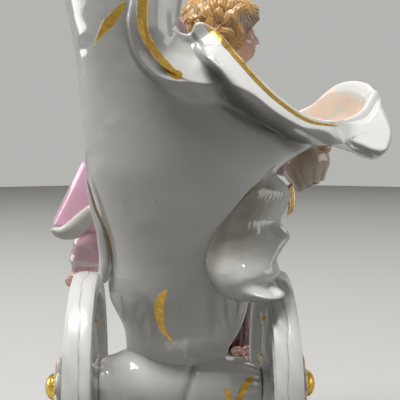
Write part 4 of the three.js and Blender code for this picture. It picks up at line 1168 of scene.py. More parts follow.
def hair_clay():
    """Hair in soft locks, each with fine strands along it."""
    centre = HEAD + [-4, 0, 5]
    draw = np.random.default_rng(12)
    ways = []
    while len(ways) < LOCKS:
        way = unit(draw.normal(size=3))
        if way[0] > 0.55 and way[2] < 0.35:
            continue
        if all(np.linalg.norm(way - other) > 0.29 for other in ways) or draw.uniform() < 0.01:
            ways.append(way)
    ways = np.array(ways)
    crown = unit(np.array([-0.3, 0.0, 1.0]))
    down = unit(ways * (ways @ crown)[:, None] - crown)
    lean = draw.uniform(-1.1, 1.1, len(ways))[:, None]
    along = down * np.cos(lean) + np.cross(ways, down) * np.sin(lean)
    sideways = np.cross(ways, along)
    phase = draw.uniform(0, TURN, len(ways))
    heap = draw.uniform(-0.035, 0.035, len(ways))

    def nearest(d):
        gap = d[..., None, :] - ways
        run, side, rise = ((gap * axis).sum(-1) for axis in (along, sideways, ways))
        side = side - 0.06 * np.sin(9 * run + phase)
        far = np.sqrt((0.55 * run) ** 2 + side**2 + 2 * rise**2)
        k = far.argmin(-1)[..., None]
        pick = lambda value: np.take_along_axis(value, k, -1)[..., 0]
        return pick(far), pick(side), heap[k[..., 0]]

    strands = lambda d: np.cos(STRANDS * nearest(d)[1])

    def radius(d):
        x, y, z = d[..., 0], d[..., 1], d[..., 2]
        mass = 1 / np.sqrt((x / 17.5) ** 2 + (y / 13.5) ** 2 + (z / 14) ** 2)
        far, side, lifted = nearest(d)
        puff = 0.10 * np.exp(-(far / 0.155) ** 2) - 0.055 + lifted * np.exp(-(far / 0.2) ** 2)
        swirl = 0.007 * np.cos(STRANDS * side)
        face = np.linalg.norm(centre + d * mass[..., None] - (HEAD + [14, 0, -5.5]), axis=-1)
        sink = 1 - 0.42 * smooth(13.4, 11.2, face)
        return mass * (1 + puff + swirl) * sink

    shade = lambda d: smooth(0.10, 0.26, nearest(d)[0]) + 0.25 * smooth(-0.3, -1, strands(d))
    return ball(centre, radius, 300, 220, tints={"strand": strands, "shade": shade})


def torso_clay():
    stops = [
        (HIP_X, FIGURE_Y, level(0.51), 7.4, 7.7), (HIP_X + 3, FIGURE_Y, level(0.58), 6.7, 7.1),
        (HIP_X + 12, FIGURE_Y, level(0.67), 7.4, 8.3),
        (SHOULDER_X - 4, FIGURE_Y, level(0.745), 7.1, 9.3),
        (SHOULDER_X + 1, FIGURE_Y, level(0.79), 4.5, 6.4),
        (SHOULDER_X + 4, FIGURE_Y, level(0.81), 2.3, 3.2),
    ]
    from_front = lambda a: np.abs(wrapped(a))
    from_back = lambda a: np.abs(wrapped(a - math.pi))

    def folds(t, a):
        waist = 0.35 * np.sin(TURN * (3.2 * t + 0.15 * np.sin(2 * a))) * bell(t, 0.25, 0.14)
        seam = -0.35 * bell(from_back(a), 0, 0.03) - 0.3 * bell(from_back(a), 0.75, 0.03)
        front = 0.5 * smooth(0.26, 0.22, from_front(a))
        return waist + seam * smooth(0.75, 0.6, t) + front * smooth(0.95, 0.85, t)

    tints = {
        "gilt": lambda t, a: np.maximum(0.35 - 12 * np.abs(from_front(a) - 0.24),
                                        0.3 - 60 * np.abs(t - 0.93)),
        "white": lambda t, a: smooth(0.17, 0.13, from_front(a)) - 0.5,
    }
    return body_limb(stops, 160, 150, swell=folds, ends=(0, 0.03), tints=tints)


def jabot_clay():
    stops = [
        (SHOULDER_X + 2, FIGURE_Y, level(0.795), 2.9, 2.9),
        (SHOULDER_X + 6, FIGURE_Y, level(0.82), 4.1, 4.1),
        (SHOULDER_X + 8.5, FIGURE_Y, level(0.84), 2.8, 2.9),
        (HEAD[0] - 1, FIGURE_Y, level(0.88), 2.6, 2.6),
    ]
    ruffle = lambda t, a: (0.8 * np.cos(9 * a + 2 * np.sin(5 * t)) * bell(t, 0.4, 0.2)
                           + 0.35 * np.cos(TURN * 7 * t))
    gilt = {"gilt": lambda t, a: 0.3 - 40 * np.abs(t - 0.44)}
    return body_limb(stops, 120, 90, swell=ruffle, ends=(0.06, 0), tints=gilt)


def tail_clay():
    """Coat skirt, hollow from below, with its pleats and a white lining."""
    rows = [(t, 0.0, 0.0) for t in np.linspace(0, 1, 90)]
    rows += [(1.0, 0.5 * (1 - math.cos(a)), -0.5 * math.sin(a)) for a in np.linspace(0.4, 2.7, 6)]
    rows += [(t, 1.1, 0.0) for t in np.linspace(1, 0.35, 40)]
    t, inset, drop = columns(rows)
    angle = around(256)[None]
    back = 0.5 - 0.5 * np.cos(angle)
    pleat = 1 + 0.06 * t * np.cos(PLEATS * angle) + 0.012 * t * np.cos(3 * PLEATS * angle)
    reach = 12 + 2 * t + (10.4 * smooth(-0.03, 0.1, t) + 9.3 * t) * back**2.2 - inset
    x = HIP_X + 2 - 3 * t + reach * pleat * np.cos(angle)
    y = FIGURE_Y + (11.5 + 5.5 * t - inset) * pleat * np.sin(angle)
    z = level(0.6) - t * (TAIL_LENGTH - 9 * back**2) + drop
    points = np.stack([x, y, z], -1)
    hem = 0.55 - 26 * np.abs(t - 0.955) - 2 * smooth(0.55, 0.75, back)
    lined = np.where(inset > 0.9, 1.0, -1.0) + 0 * angle
    # The hollow value is painted shade in the valleys of the pleats
    return closed_loft(points, gilt=np.where(inset < 0.1, hem, -4) + 0 * angle, white=lined,
                       hollow=bell(np.cos(PLEATS * angle), -1, 0.4) * t * 0.8)


def lining_clay():
    corner = HIP_X - 36
    hem = level(0.6) - TAIL_LENGTH
    stops = [
        (corner + 3.2, NEAR_Y - 6, hem + 6.6, 1.2, 2.4),
        (corner + 7.6, NEAR_Y - 8, hem + 5.8, 2.6, 2.6),
        (corner + 11.5, NEAR_Y - 10, hem + 7.0, 3.7, 2.6),
        (corner + 16, NEAR_Y - 11, hem + 10.4, 4.0, 2.2),
        (corner + 22, NEAR_Y - 12, hem + 15.5, 3.7, 1.6),
    ]
    fold = lambda t, a: -0.5 * bell(wrapped(a - 0.9), 0, 0.25) + 0.3 * np.cos(3 * a)
    rose = {"rose": lambda t, a: np.maximum(0.3 - np.abs(wrapped(a)) + 0.2 * (1 - t), 1.1 - 11 * t)}
    return limb(stops, 72, 80, swell=fold, ends=(0.12, 0.05), tints=rose)


def sleeve_clay(y, elbow, wrist):
    middle = [(e + w) / 2 for e, w in zip(elbow, wrist)]
    stops = [
        (SHOULDER_X - 4, y, level(0.755), 3.5, 3.2), (SHOULDER_X - 1, y, level(0.72), 4.5, 4.1),
        (*elbow, 3.8, 3.8), (*middle, 3.8, 3.8), (*wrist, 4.2, 4.2),
    ]

    def folds(t, a):
        creases = 0.45 * np.sin(TURN * (6 * t + 0.35 * np.sin(a + 1))) * bell(t, 0.5, 0.13)
        cuff = 0.55 * smooth(0.86, 0.88, t)
        return creases + 0.2 * np.sin(4 * a + 9 * t) + cuff

    tints = {"gilt": lambda t, a: np.maximum(0.35 - 45 * np.abs(t - 0.885),
                                             0.3 - 45 * np.abs(t - 0.985))}
    return body_limb(stops, 96, 150, swell=folds, ends=(0.05, 0), tints=tints)


def cuff_clay(wrist, end, full):
    """Soft cuff that hangs from the wrist and ends in a scalloped hem."""
    wrist, end = np.array(wrist, float), np.array(end, float)
    axis = end - wrist
    length = np.linalg.norm(axis)
    across = unit(np.array([0, 1, 0]) - axis * axis[1] / length**2)
    upward = np.cross(across, axis / length)
    rows = [(t, 0.0) for t in np.linspace(0, 1, 70)] + [(t, 1.0) for t in np.linspace(1, 0.5, 30)]
    t, inside = columns(rows)
    angle = around(224)[None]
    cusp = (0.5 - 0.5 * np.cos(SCALLOPS * angle)) ** 2
    radius = full * (0.5 + 0.5 * smooth(0, 0.42, t) - 0.42 * smooth(0.5, 1.08, t))
    radius = radius * (1 - 0.07 * t**2 * cusp) - 1.0 * inside * smooth(0, 0.4, t)
    wave = np.cos(SCALLOPS * angle + 2 * t)
    drape = full * (0.012 * wave + 0.02 * np.cos(4 * angle + 1)) * smooth(0.2, 0.9, t)
    along = t + 0.09 * t * np.sin(angle) - 0.03 * smooth(0.6, 1, t) * cusp - 0.02 * inside
    points = wrist + axis * along[..., None]
    points = points + across * ((radius + drape) * np.cos(angle))[..., None]
    points = points + upward * ((radius + drape) * np.sin(angle))[..., None]
    # Painted light and shade: the hem value makes the lace paler towards its hem, and the hollow
    # value darker in its folds
    hem = 1.2 * smooth(0.86, 0.99, t) - 0.2 - inside
    hollow = 0.35 * bell(wave, -1, 0.35) * t * smooth(1, 0.8, t)
    return closed_loft(points, hollow=hollow, hem=hem + 0 * angle)


def hand_clay(lace, reach):
    """Palm with four fingers and a thumb that lie along the reach."""
    lace = np.array(lace, float)
    start, end = lace + reach[0], lace + reach[1]
    middle = (start + end) / 2
    way = unit(end - start)
    side = unit(np.cross(way, [0, 0, 1]))
    palm = body_limb([(*start, 1.7, 1.7), (*middle, 1.9, 1.9), (*(end - way * 0.5), 1.7, 2.0)],
                     40, 30, ends=(0.1, 0.25))
    drop = np.cross(side, way)
    for k in range(4):
        root = end - way * 1.2 + side * (k - 1.5) * 1.15
        bend = root + way * 2.6 + drop * 0.3
        tip = bend + way * 2.0 - drop * 0.9
        palm = palm + limb([(*root, 0.72), (*bend, 0.66), (*tip, 0.5)], 20, 24, ends=(0.1, 0.2))
    root = middle + side * 2.2
    tip = root + way * 3.4 + side * 0.9
    thumb = [(*(middle + side), 0.9), (*root, 0.8), (*tip, 0.55)]
    return palm + limb(thumb, 20, 24, ends=(0.1, 0.2))


def breeches_clay(y, hip_x, knee):
    kx, kz = knee
    stops = [
        (hip_x, y, level(0.53), 4.9, 4.7), (hip_x + 0.4 * (kx - hip_x), y, level(0.44), 5.4, 5),
        (hip_x + 0.85 * (kx - hip_x), y, kz + 11, 4.6, 4.4), (kx, y, kz + 3, 4, 4),
        (kx, y, kz - 2, 3.1, 3.2),
    ]

    def folds(t, a):
        wave = 4.5 * t + 0.22 * np.sin(a) + 0.1 * np.sin(3 * a)
        drape = 0.34 * np.sin(TURN * wave) * smooth(0.3, 0.6, t)
        gathers = 0.3 * np.cos(15 * a) * smooth(0.8, 0.92, t)
        band = 0.5 * smooth(0.93, 0.95, t)
        return drape * smooth(0.95, 0.9, t) + gathers * smooth(0.96, 0.93, t) + band

    # The pale value is a painted highlight on the crests of the folds and over the lower thigh
    shade = {"pale": lambda t, a: folds(t, a) * 1.1 + 0.4 * smooth(0.55, 0.8, t) - 0.1,
             "gilt": lambda t, a: 0.25 - 40 * np.abs(t - 0.945)}
    return body_limb(stops, 120, 130, swell=folds, ends=(0.04, 0.02), tints=shade)


def stocking_clay(y, knee, ankle):
    (kx, kz), (ax, az) = knee, ankle
    stops = [
        (kx, y, kz - 1, 3.1, 3.1), (kx + 0.3 * (ax - kx) - 1.4, y, kz - 0.3 * (kz - az), 3.7, 3.5),
        (kx + 0.7 * (ax - kx), y, kz - 0.7 * (kz - az), 2.7, 2.6), (ax, y, az, 2.1, 2),
        (ax + 1, y, SOLE + 2.5, 1.8, 1.8),
    ]
    side = lambda a: np.abs(wrapped(2 * a - math.pi)) / 2
    clock = {"gilt": lambda t, a: 0.5 * smooth(0.45, 0.6, t) - 5 * np.abs(side(a) - 0.05)}
    wrinkle = lambda t, a: 0.16 * np.sin(TURN * 9 * t + np.sin(a)) * smooth(0.8, 0.95, t)
    return body_limb(stops, 64, 90, swell=wrinkle, tints=clock)


def shoe_clay(y, ankle):
    x = ankle[0]
    stops = [
        (x - 5, y, SOLE + 3, 1.8, 1.9), (x, y, SOLE + 3.6, 3.1, 2.6),
        (x + 8, y, SOLE + 2.2, 2.4, 2.8), (x + 16, y, SOLE + 1.2, 1.2, 1.8),
    ]
    upper = body_limb(stops, 72, 90, ends=(0.12, 0.1))
    upper.points[:, 2] = np.maximum(upper.points[:, 2], SOLE + 0.25)
    low = upper.points[:, 2] < SOLE + 1.3
    upper.values["sole"] = np.where(low, 1.0, -1.0)
    heel = limb([(x - 4.4, y, SOLE + 0.2, 2.3, 2.3), (x - 4.2, y, SOLE + 1.8, 1.8, 1.9),
                 (x - 3.6, y, SOLE + 4, 2.4, 2.3)], 32, 12)
    heel.values["sole"] = np.ones(len(heel.points))
    buckle = frame_clay((x + 4.6, y, SOLE + 6.6), 2.3, 1.9, 0.42)
    buckle.finish[:] = 1
    return upper + heel + buckle


def frame_clay(centre, half_x, half_y, thick):
    """Small rectangular buckle frame, lying across a shoe."""
    turn = around(64)
    corner = squared(turn, 4)
    x, y = half_x * corner * np.cos(turn), half_y * corner * np.sin(turn)
    path = np.stack([x, y, 0.14 * x - 0.10 * y * y], -1) + centre
    outward = unit(np.stack([x, y, 0 * x], -1))
    tube = around(12)[None, :, None]
    round_tube = np.cos(tube) * outward[:, None] + np.sin(tube) * np.array([0, 0, 1])
    rings = path[:, None] + thick * round_tube
    return torus_loft(rings)


def bow_clay(centre, reach, lean):
    cx, cy, cz = centre
    made = None
    for side in (-1, 1):
        stops = [
            (cx, cy, cz, 0.9, 0.8),
            (cx + 0.5 * side * reach, cy - 0.3, cz + 0.5 * lean * side + 1, 2.3, 1.4),
            (cx + side * reach, cy, cz + lean * side, 1.7, 1.0),
        ]
        pinch = lambda t, a: (0.35 * np.cos(5 * a) * smooth(0.9, 0.1, t)
                              - 0.35 * bell(np.abs(np.sin(a)), 1, 0.25))
        loop = limb(stops, 48, 40, swell=pinch, ends=(0.06, 0.12))
        hanging = [
            (cx, cy - 0.4, cz - 0.3, 0.8, 0.5),
            (cx + 0.35 * side * reach, cy - 0.6, cz - 3.4, 1.2, 0.45),
            (cx + 0.55 * side * reach, cy - 0.5, cz - 6.6, 1.4, 0.4),
        ]
        tail = limb(hanging, 32, 24, ends=(0.1, 0.05))
        made = loop + tail if made is None else made + loop + tail
    return made + ball((cx, cy - 0.4, cz), fluted(1.5, 0.1, 6), 40, 24)


# Repeats, made by geometry nodes

def socket(tree, name, kind, way="INPUT"):
    return tree.interface.new_socket(name, in_out=way, socket_type=kind)


class Repeat:
    """A tree of geometry nodes in the making."""

    def __init__(self, name, inputs):
        self.tree = bpy.data.node_groups.new(name, "GeometryNodeTree")
        socket(self.tree, "Geometry", "NodeSocketGeometry")
        socket(self.tree, "Geometry", "NodeSocketGeometry", "OUTPUT")
        for label, kind in inputs.items():
            socket(self.tree, label, kind)
        self.source = self.tree.nodes.new("NodeGroupInput")

    def given(self, name):
        return self.source.outputs[name]

    def node(self, kind, settings=(), values=(), out=0):
        return add_node(self.tree, kind, settings, values).outputs[out]

    def maths(self, operation, *values):
        return self.node("ShaderNodeMath", {"operation": operation}, values)

    def end(self, instances):
        real = self.node("GeometryNodeRealizeInstances", values=[instances])
        painted = self.node("GeometryNodeSetMaterial", values={
            "Geometry": real, "Material": self.given("Finish")})
        add_node(self.tree, "NodeGroupOutput", values=[painted])
        return self.tree


def wheel_tree():
    """Copies of a spoke round the axle: Count of them, turned about the hub's Middle."""
    made = Repeat("copies_round_the_axle", {
        "Count": "NodeSocketInt", "Middle": "NodeSocketVector", "Finish": "NodeSocketMaterial"})
    points = made.node("GeometryNodePoints", values={"Count": made.given("Count")})
    index = made.node("GeometryNodeInputIndex")
    share = made.maths("DIVIDE", made.maths("ADD", index, 0.5), made.given("Count"))
    angle = made.maths("MULTIPLY", share, TURN)
    turn = made.node("ShaderNodeCombineXYZ", values={"X": angle})
    spokes = made.node("GeometryNodeInstanceOnPoints", values={
        "Points": points, "Instance": made.given("Geometry"), "Rotation": turn})
    moved = made.node("GeometryNodeTranslateInstances", values={
        "Instances": spokes, "Translation": made.given("Middle"), "Local Space": False})
    return made.end(moved)


def bead_tree():
    """Domed beads at even steps along a path."""
    made = Repeat("beads_along_a_path", {
        "Spacing": "NodeSocketFloat", "Radius": "NodeSocketFloat", "Finish": "NodeSocketMaterial"})
    curve = made.node("GeometryNodeMeshToCurve", values=[made.given("Geometry")])
    steps = made.node("GeometryNodeCurveToPoints", {"mode": "LENGTH"},
                      {"Curve": curve, "Length": made.given("Spacing")})
    bead = made.node("GeometryNodeMeshIcoSphere", values={
        "Radius": made.given("Radius"), "Subdivisions": 3})
    round_bead = made.node("GeometryNodeSetShadeSmooth", values={"Geometry": bead})
    beads = made.node("GeometryNodeInstanceOnPoints", values={
        "Points": steps, "Instance": round_bead})
    return made.end(beads)


def repeated(name, mesh, tree, values):
    """The plain mesh that the tree makes from a mesh."""
    holder = bpy.data.objects.new(name, mesh)
    bpy.context.scene.collection.objects.link(holder)
    modifier = holder.modifiers.new("repeat", "NODES")
    modifier.node_group = tree
    for item in tree.interface.items_tree:
        if item.in_out == "INPUT" and item.name in values:
            modifier[item.identifier] = values[item.name]
    graph = bpy.context.evaluated_depsgraph_get()
    result = bpy.data.meshes.new_from_object(holder.evaluated_get(graph))
    bpy.data.objects.remove(holder)
    result.name = name
    return result


def path_mesh(name, points, closed=False):
    mesh = bpy.data.meshes.new(name)
    count = len(points)
    edges = [(i, (i + 1) % count) for i in range(count if closed else count - 1)]
    mesh.from_pydata(((np.array(points) + ORIGIN) * MM).tolist(), edges, [])
    return mesh


# Settings

def length(name, text, millimetres):
    return bpy.props.FloatProperty(
        name=name, description=text, default=millimetres * MM, min=0, unit="LENGTH", precision=4)


def count(name, text, value):
    return bpy.props.IntProperty(name=name, description=text, default=value, min=3, max=40)


def colour(name, text, value):
    return bpy.props.FloatVectorProperty(
        name=name, description=text, default=value, size=3, min=0, max=1, subtype="COLOR")


class VaseSettings(bpy.types.PropertyGroup):
    wall: length("Wall", "Thickness of the vase's wall", 3)
    rounding: length("Rim rounding", "How far the mouth's edge is rounded up", 1.1)
    white: colour("Porcelain", "Colour of the glazed porcelain", (0.79, 0.78, 0.745))
    peach: colour("Mouth wash", "Colour brushed inside the mouth", tone(246, 226, 208))


class CartSettings(bpy.types.PropertyGroup):
    spokes: count("Spokes", "Spokes of each wheel", 10)
    petals: count("Petals", "Petals of each hub rosette", 8)
    bead: length("Bead radius", "Radius of the beads round a hub cap", 0.55)


class GroundSettings(bpy.types.PropertyGroup):
    bead: length("Bead radius", "Radius of the beads round the base", 1.15)
    spacing: length("Bead spacing", "Distance from bead to bead round the base", 3.1)
    moss: colour("Moss", "Green wash on the mound and the base", tone(112, 124, 72))
    earth: colour("Earth", "Brown wash in the clefts of the mound", tone(120, 88, 58))
    bark: colour("Bark", "Enamel of the tree stump", tone(104, 40, 42))


class FigureSettings(bpy.types.PropertyGroup):
    coat: colour("Coat", "Pink enamel of the coat and breeches", tone(216, 166, 186))
    skin: colour("Skin", "Flesh enamel of the head and hands", tone(222, 180, 156))
    hair: colour("Hair", "Enamel of the hair", tone(184, 136, 70))
    button: length("Button radius", "Radius of the coat's buttons", 0.62)


class StageSettings(bpy.types.PropertyGroup):
    floor: colour("Floor", "Colour of the floor", (0.56, 0.555, 0.54))
    wall: colour("Background", "Colour behind the object", (0.46, 0.46, 0.445))
    lamp: bpy.props.FloatProperty(
        name="Lamp", description="Power of the lamp overhead", default=15.8, min=0, unit="POWER")


def enamel(name, paint, gilt=True, tints=()):
    """Brushed enamel over the glaze, paler where the brush lifted, and darker in the folds with
    painted shade.
    """
    darker = tuple(c * k for c, k in zip(paint, (0.62, 0.50, 0.55)))
    return glaze(name, paint, [("hollow", darker, 0.2, 1.1), *tints], gilt=gilt, unevenness=0.7)


class MakeVase(bpy.types.Operator):
    """Make the cornucopia with its collar, lip, notch and gilt strokes"""

    bl_idname = "cartvase.vase"
    bl_label = "Vase"

    def execute(self, context):
        size = context.scene.cartvase_vase
        # Over the glaze: painted shade and dark reflection by the lip, notch and collar, painted
        # shade on the far rim, and the cream edge and the peach wash, which are the vase's own
        # colours
        tints = [("painted_shade", tone(84, 79, 73), 0.1, 1.4), ("far_rim_shade", tone(150, 128, 126), 0.1, 0.8),
                 ("edge", tone(214, 190, 150), 0.2, 1.4), ("peach", tuple(size.peach), 0.0, 1.0)]
        finish = glaze("vase_glaze", size.white, tints)
        clay = vase_clay(size.wall / MM, size.rounding / MM)
        piece("vase_body_glazed", clay, [finish], "white_glaze", "vase_body")
        return {"FINISHED"}


class MakeTrims(bpy.types.Operator):
    """Make the applied leaf, scroll rib and gilt drop"""

    bl_idname = "cartvase.trims"
    bl_label = "Leaf, scroll and drop"

    def execute(self, context):
        white = context.scene.cartvase_vase.white
        # Painted shade over the leaf's upper left and in the hollows; the brown line beside the
        # scroll's gilding is paint
        shade = [("warm", tone(168, 154, 128), 0.0, 1.3), ("hollow", tone(120, 106, 88), 0.1, 1.5),
                 ("line", tone(104, 76, 38), 0.0, 0.15)]
        finish = glaze("trim_glaze", white, shade, unevenness=0.8)
        piece("rocaille_leaf_glazed", leaf_clay(), [finish], "white_glaze", "rocaille_leaf")
        piece("scroll_rib_glazed", scroll_rib(), [finish], "white_glaze", "scroll_rib")
        gold = solid_gilding("drop_gilding", 0.4)
        piece("gilt_drop_burnished", drop_clay(), [gold], "gilding", "gilt_drop")
        return {"FINISHED"}


class MakeCart(bpy.types.Operator):
    """Make the axle body, and the wheels with their spokes, rosettes, caps and beads"""

    bl_idname = "cartvase.cart"
    bl_label = "Cart"

    def execute(self, context):
        size = context.scene.cartvase_cart
        white = context.scene.cartvase_vase.white
        # The wheels' white is the porcelain white made darker, a shaded copy of it: painted shade
        shaded_white = tuple(0.88 * c for c in white)
        # Brown tint for dirt in the wheels' cracks and for painted shade in the axle body's cleft
        crack_veins_and_cleft_shade = [("hollow", tone(128, 100, 70), 0.25, 1.2)]
        finish = glaze("wheel_glaze", shaded_white, crack_veins_and_cleft_shade, gloss=0.26, coat=0.1)
        shiny = glaze("axle_glaze", white, crack_veins_and_cleft_shade, unevenness=0.6)
        gold = solid_gilding("cap_gilding")
        piece("axle_body_glazed", axle_clay(), [shiny], "white_glaze", "axle_body")
        spokes, beads = wheel_tree(), bead_tree()
        middle = (0, ORIGIN[1] * MM, (AXLE + ORIGIN[2]) * MM)
        for name, side in (("left", -1), ("right", 1)):
            wheel = wheel_rim(side) + nave(side)
            piece(f"{name}_wheel_rim", wheel, [finish], "white_glaze", f"{name}_wheel")
            values = {"Count": size.spokes, "Middle": middle, "Finish": finish}
            spoke = spoke_mesh("spoke", side, finish)
            mesh = repeated(f"{name}_wheel_spokes", spoke, spokes, values)
            place(mesh.name, mesh, "white_glaze", f"{name}_wheel")
            piece(f"{name}_hub_petals", rosette(side, size.petals), [finish], "white_glaze",
                  f"{name}_hub_rosette")
            piece(f"{name}_hub_dome", hub_cap(side), [gold], "gilding", f"{name}_hub_cap")
            turn = around(96)
            ring = about_axle(side * (CAP_START + 0.1) + 0 * turn, BEAD_RING, turn)
            values = {"Spacing": 3.0 * size.bead, "Radius": size.bead, "Finish": gold}
            mesh = repeated(f"{name}_hub_beads", path_mesh("ring", ring, True), beads, values)
            place(mesh.name, mesh, "gilding", f"{name}_hub_cap")
        return {"FINISHED"}


class MakeGround(bpy.types.Operator):
    """Make the moulded base with its beads, the mound and the tree stump"""

    bl_idname = "cartvase.ground"
    bl_label = "Base, mound and stump"

    def execute(self, context):
        size = context.scene.cartvase_ground
        white = context.scene.cartvase_vase.white
        moss = ("moss", tuple(size.moss), 0.15, 1.1)
        finish = glaze("base_glaze", white, [moss])
        piece("base_moulded", base_clay(), [finish], "white_glaze", "base")
        values = {"Spacing": size.spacing, "Radius": size.bead, "Finish": finish}
        line = base_ring(3.0, 7.4, around(400))
        beads = repeated("base_beads", path_mesh("ring", line, True), bead_tree(), values)
        place(beads.name, beads, "white_glaze", "base")
        washes = [("earth", tuple(size.earth), 0.1, 1.3), moss]
        rock = glaze("mound_glaze", tone(206, 200, 178), washes, gilt=False, unevenness=2)
        piece("mound_rock", mound_clay(), [rock], "mound_glaze", "mound")
        bark = enamel("bark_enamel", tuple(size.bark), gilt=False)
        piece("tree_stump_bark", stump_clay(), [bark], "maroon_enamel", "tree_stump")
        return {"FINISHED"}


class MakeDress(bpy.types.Operator):
    """Make the figure's coat, sleeves, breeches, bows, jabot, cuffs, stockings and shoes"""

    bl_idname = "cartvase.dress"
    bl_label = "Dress"

    def execute(self, context):
        size = context.scene.cartvase_figure
        white = tuple(context.scene.cartvase_vase.white)
        coat = tuple(size.coat)
        linen = tone(226, 222, 214)
        pink = enamel("coat_enamel", coat, tints=[("white", linen, -0.1, 0.1)])
        # The paler pink over the folds' crests is a painted highlight
        pale = enamel("breeches_enamel", tone(244, 200, 212), tints=[
            ("pale", tone(252, 240, 242), 0.05, 0.6)])
        lined = glaze("lining_glaze", linen, [("rose", coat, 0.0, 0.15)], gilt=False)
        # The lace is painted in the grey-beige of white lace in shade, with painted shade in its
        # folds and painted light at its hem
        lace = glaze("cuff_glaze", tone(208, 190, 170), [
            ("hollow", tone(128, 110, 92), 0.0, 1.1), ("hem", tone(214, 204, 190), 0.0, 0.9)],
                     gilt=False)
        plain = glaze("stocking_glaze", white)
        leather = glaze("shoe_enamel", tone(96, 58, 44), [
            ("sole", tone(58, 40, 32), -0.2, 0.2)], gilt=False)
        gold = solid_gilding("buckle_gilding")

        piece("coat_body_trimmed", torso_clay(), [pink], "rose_enamel", "coat_body")
        piece("coat_tail_pleated", tail_clay(), [pink], "rose_enamel", "coat_tail")
        piece("coat_lining_turned", lining_clay(), [lined], "white_glaze", "coat_lining")
        piece("neck_jabot_ruffled", jabot_clay(), [plain], "white_glaze", "neck_jabot")
        wrists = {
            "near": ((46, 34, AXLE + 80.7), (18, 37.5, level(0.62)), NEAR_Y,
                     ((49, 30, AXLE + 87.5), (52, 26, AXLE + 70.6), 9.6)),
            "far": ((32, 45, AXLE + 90.7), (24, 62, level(0.645)), FAR_Y,
                    ((34, 42, AXLE + 96), (36.5, 40, AXLE + 84), 7.4)),
        }
        for side, (wrist, elbow, y, cuff) in wrists.items():
            piece(f"{side}_sleeve_creased", sleeve_clay(y, elbow, wrist), [pink], "rose_enamel",
                  f"{side}_sleeve")
            piece(f"{side}_cuff_draped", cuff_clay(*cuff), [lace], "white_glaze", f"{side}_cuff")
        legs = {
            "rear": (NEAR_Y, HIP_X - 2, (-39, level(0.3)), (-35, level(0.06))),
            "front": (FAR_Y, HIP_X + 4, (8, level(0.31)), (19, level(0.06))),
        }
        for side, (y, hip, knee, ankle) in legs.items():
            piece(f"{side}_breeches_gathered", breeches_clay(y, hip, knee), [pale], "rose_enamel",
                  f"{side}_breeches")
            piece(f"{side}_stocking_clocked", stocking_clay(y, knee, ankle), [plain], "white_glaze",
                  f"{side}_stocking")
            piece(f"{side}_shoe_buckled", shoe_clay(y, ankle), [leather, gold], "white_glaze",
                  f"{side}_shoe")
        piece("rear_garter_tied", bow_clay((-39, NEAR_Y - 6, level(0.3) - 4), 7.5, 1), [pale],
              "rose_enamel", "rear_garter")
        piece("shoe_bow_tied", bow_clay((28, 54, SOLE + 7), 4.5, 0.5), [pale],
              "rose_enamel", "shoe_bow")
        self.buttons(size, gold)
        return {"FINISHED"}

    def buttons(self, size, gold):
        """Gilt buttons down the coat's front edge, and on its near side."""
        stops = [(-8.5, 42.3, level(0.60)), (-0.5, 41.4, level(0.68)), (7.5, 41.8, level(0.745))]
        line = Path(stops).at(np.linspace(0, 1, 40))
        values = {"Spacing": BUTTON_SPACING * MM, "Radius": size.button, "Finish": gold}
        mesh = repeated("coat_buttons", path_mesh("edge", line), bead_tree(), values)
        place(mesh.name, mesh, "gilding")


class MakeFigure(bpy.types.Operator):
    """Make the figure's head, hair and hands"""

    bl_idname = "cartvase.figure"
    bl_label = "Head, hair and hands"

    def execute(self, context):
        size = context.scene.cartvase_figure
        skin = tuple(size.skin)
        face = glaze("face_enamel", skin, [
            ("cheek", tone(220, 140, 124), 0.1, 1.6), ("lip", tone(176, 76, 74), 0.0, 0.25),
            ("brow", tone(120, 84, 52), 0.0, 0.3), ("eye", tone(236, 234, 228), 0.0, 0.15),
            ("iris", tone(70, 62, 56), 0.0, 0.12)], gilt=False, unevenness=0.5)
        dark, light = tone(116, 76, 30), tone(214, 174, 106)
        locks = glaze("hair_enamel", tuple(size.hair), [
            ("strand", light, -0.2, 1.6), ("shade", dark, 0.05, 1.1)], gilt=False, unevenness=0.6,
                      gloss=0.24, coat=0.1)
        piece("figure_head_painted", head_clay(), [face], "flesh_enamel", "figure_head")
        piece("figure_hair_curled", hair_clay(), [locks], "hair_enamel", "figure_hair")
        near = hand_clay((53, 25.5, AXLE + 79.3), np.array([(-1, 2.5, 4.4), (6.5, -1.5, 8.2)]))
        far = hand_clay((37, 38, AXLE + 91.7), np.array([(-1, 1, 0), (2, -6, 1)]))
        hand = glaze("hand_enamel", skin, gilt=False, unevenness=0.5)
        piece("near_hand_modelled", near, [hand], "flesh_enamel", "near_hand")
        piece("far_hand_modelled", far, [hand], "flesh_enamel", "far_hand")
        return {"FINISHED"}


# Stage: soft light from all round, the floor, and the camera's place in millimetres and its angles

AMBIENT = (0.045, 0.0415, 0.031, 1)
FLOOR_RADIUS = 1.49
FLOOR_DIMMING = 0.2
EYE = (-6.118, -278.157, 151.868)
CAMERA_TURN = math.radians(2.7)
CAMERA_PITCH = math.radians(6)
LENS = 70.2


def standing(right, up, back, at):
    """Placement of a lamp or camera from its own axes and its place."""
    rows = zip(np.stack([right, up, back], 1), at)
    return Matrix([(*row, where) for row, where in rows] + [(0, 0, 0, 1)])


def stage_material(name, shown, dim):
    """A pale surface that sends less light on to the object than the camera sees."""
    recipe = Recipe(name)
    rays = [recipe.node("ShaderNodeLightPath", out=kind)
            for kind in ("Is Camera Ray", "Is Glossy Ray", "Is Transmission Ray")]
    seen = recipe.node("ShaderNodeClamp", values=[rays[0] + rays[1] + rays[2]])
    grain = recipe.blend(recipe.noise(180, 3), rgba([c * 0.97 for c in shown]), rgba(shown))
    base = recipe.blend(seen, rgba([c * dim for c in shown]), grain)
    return recipe.finish(Base_Color=base, Roughness=0.85)


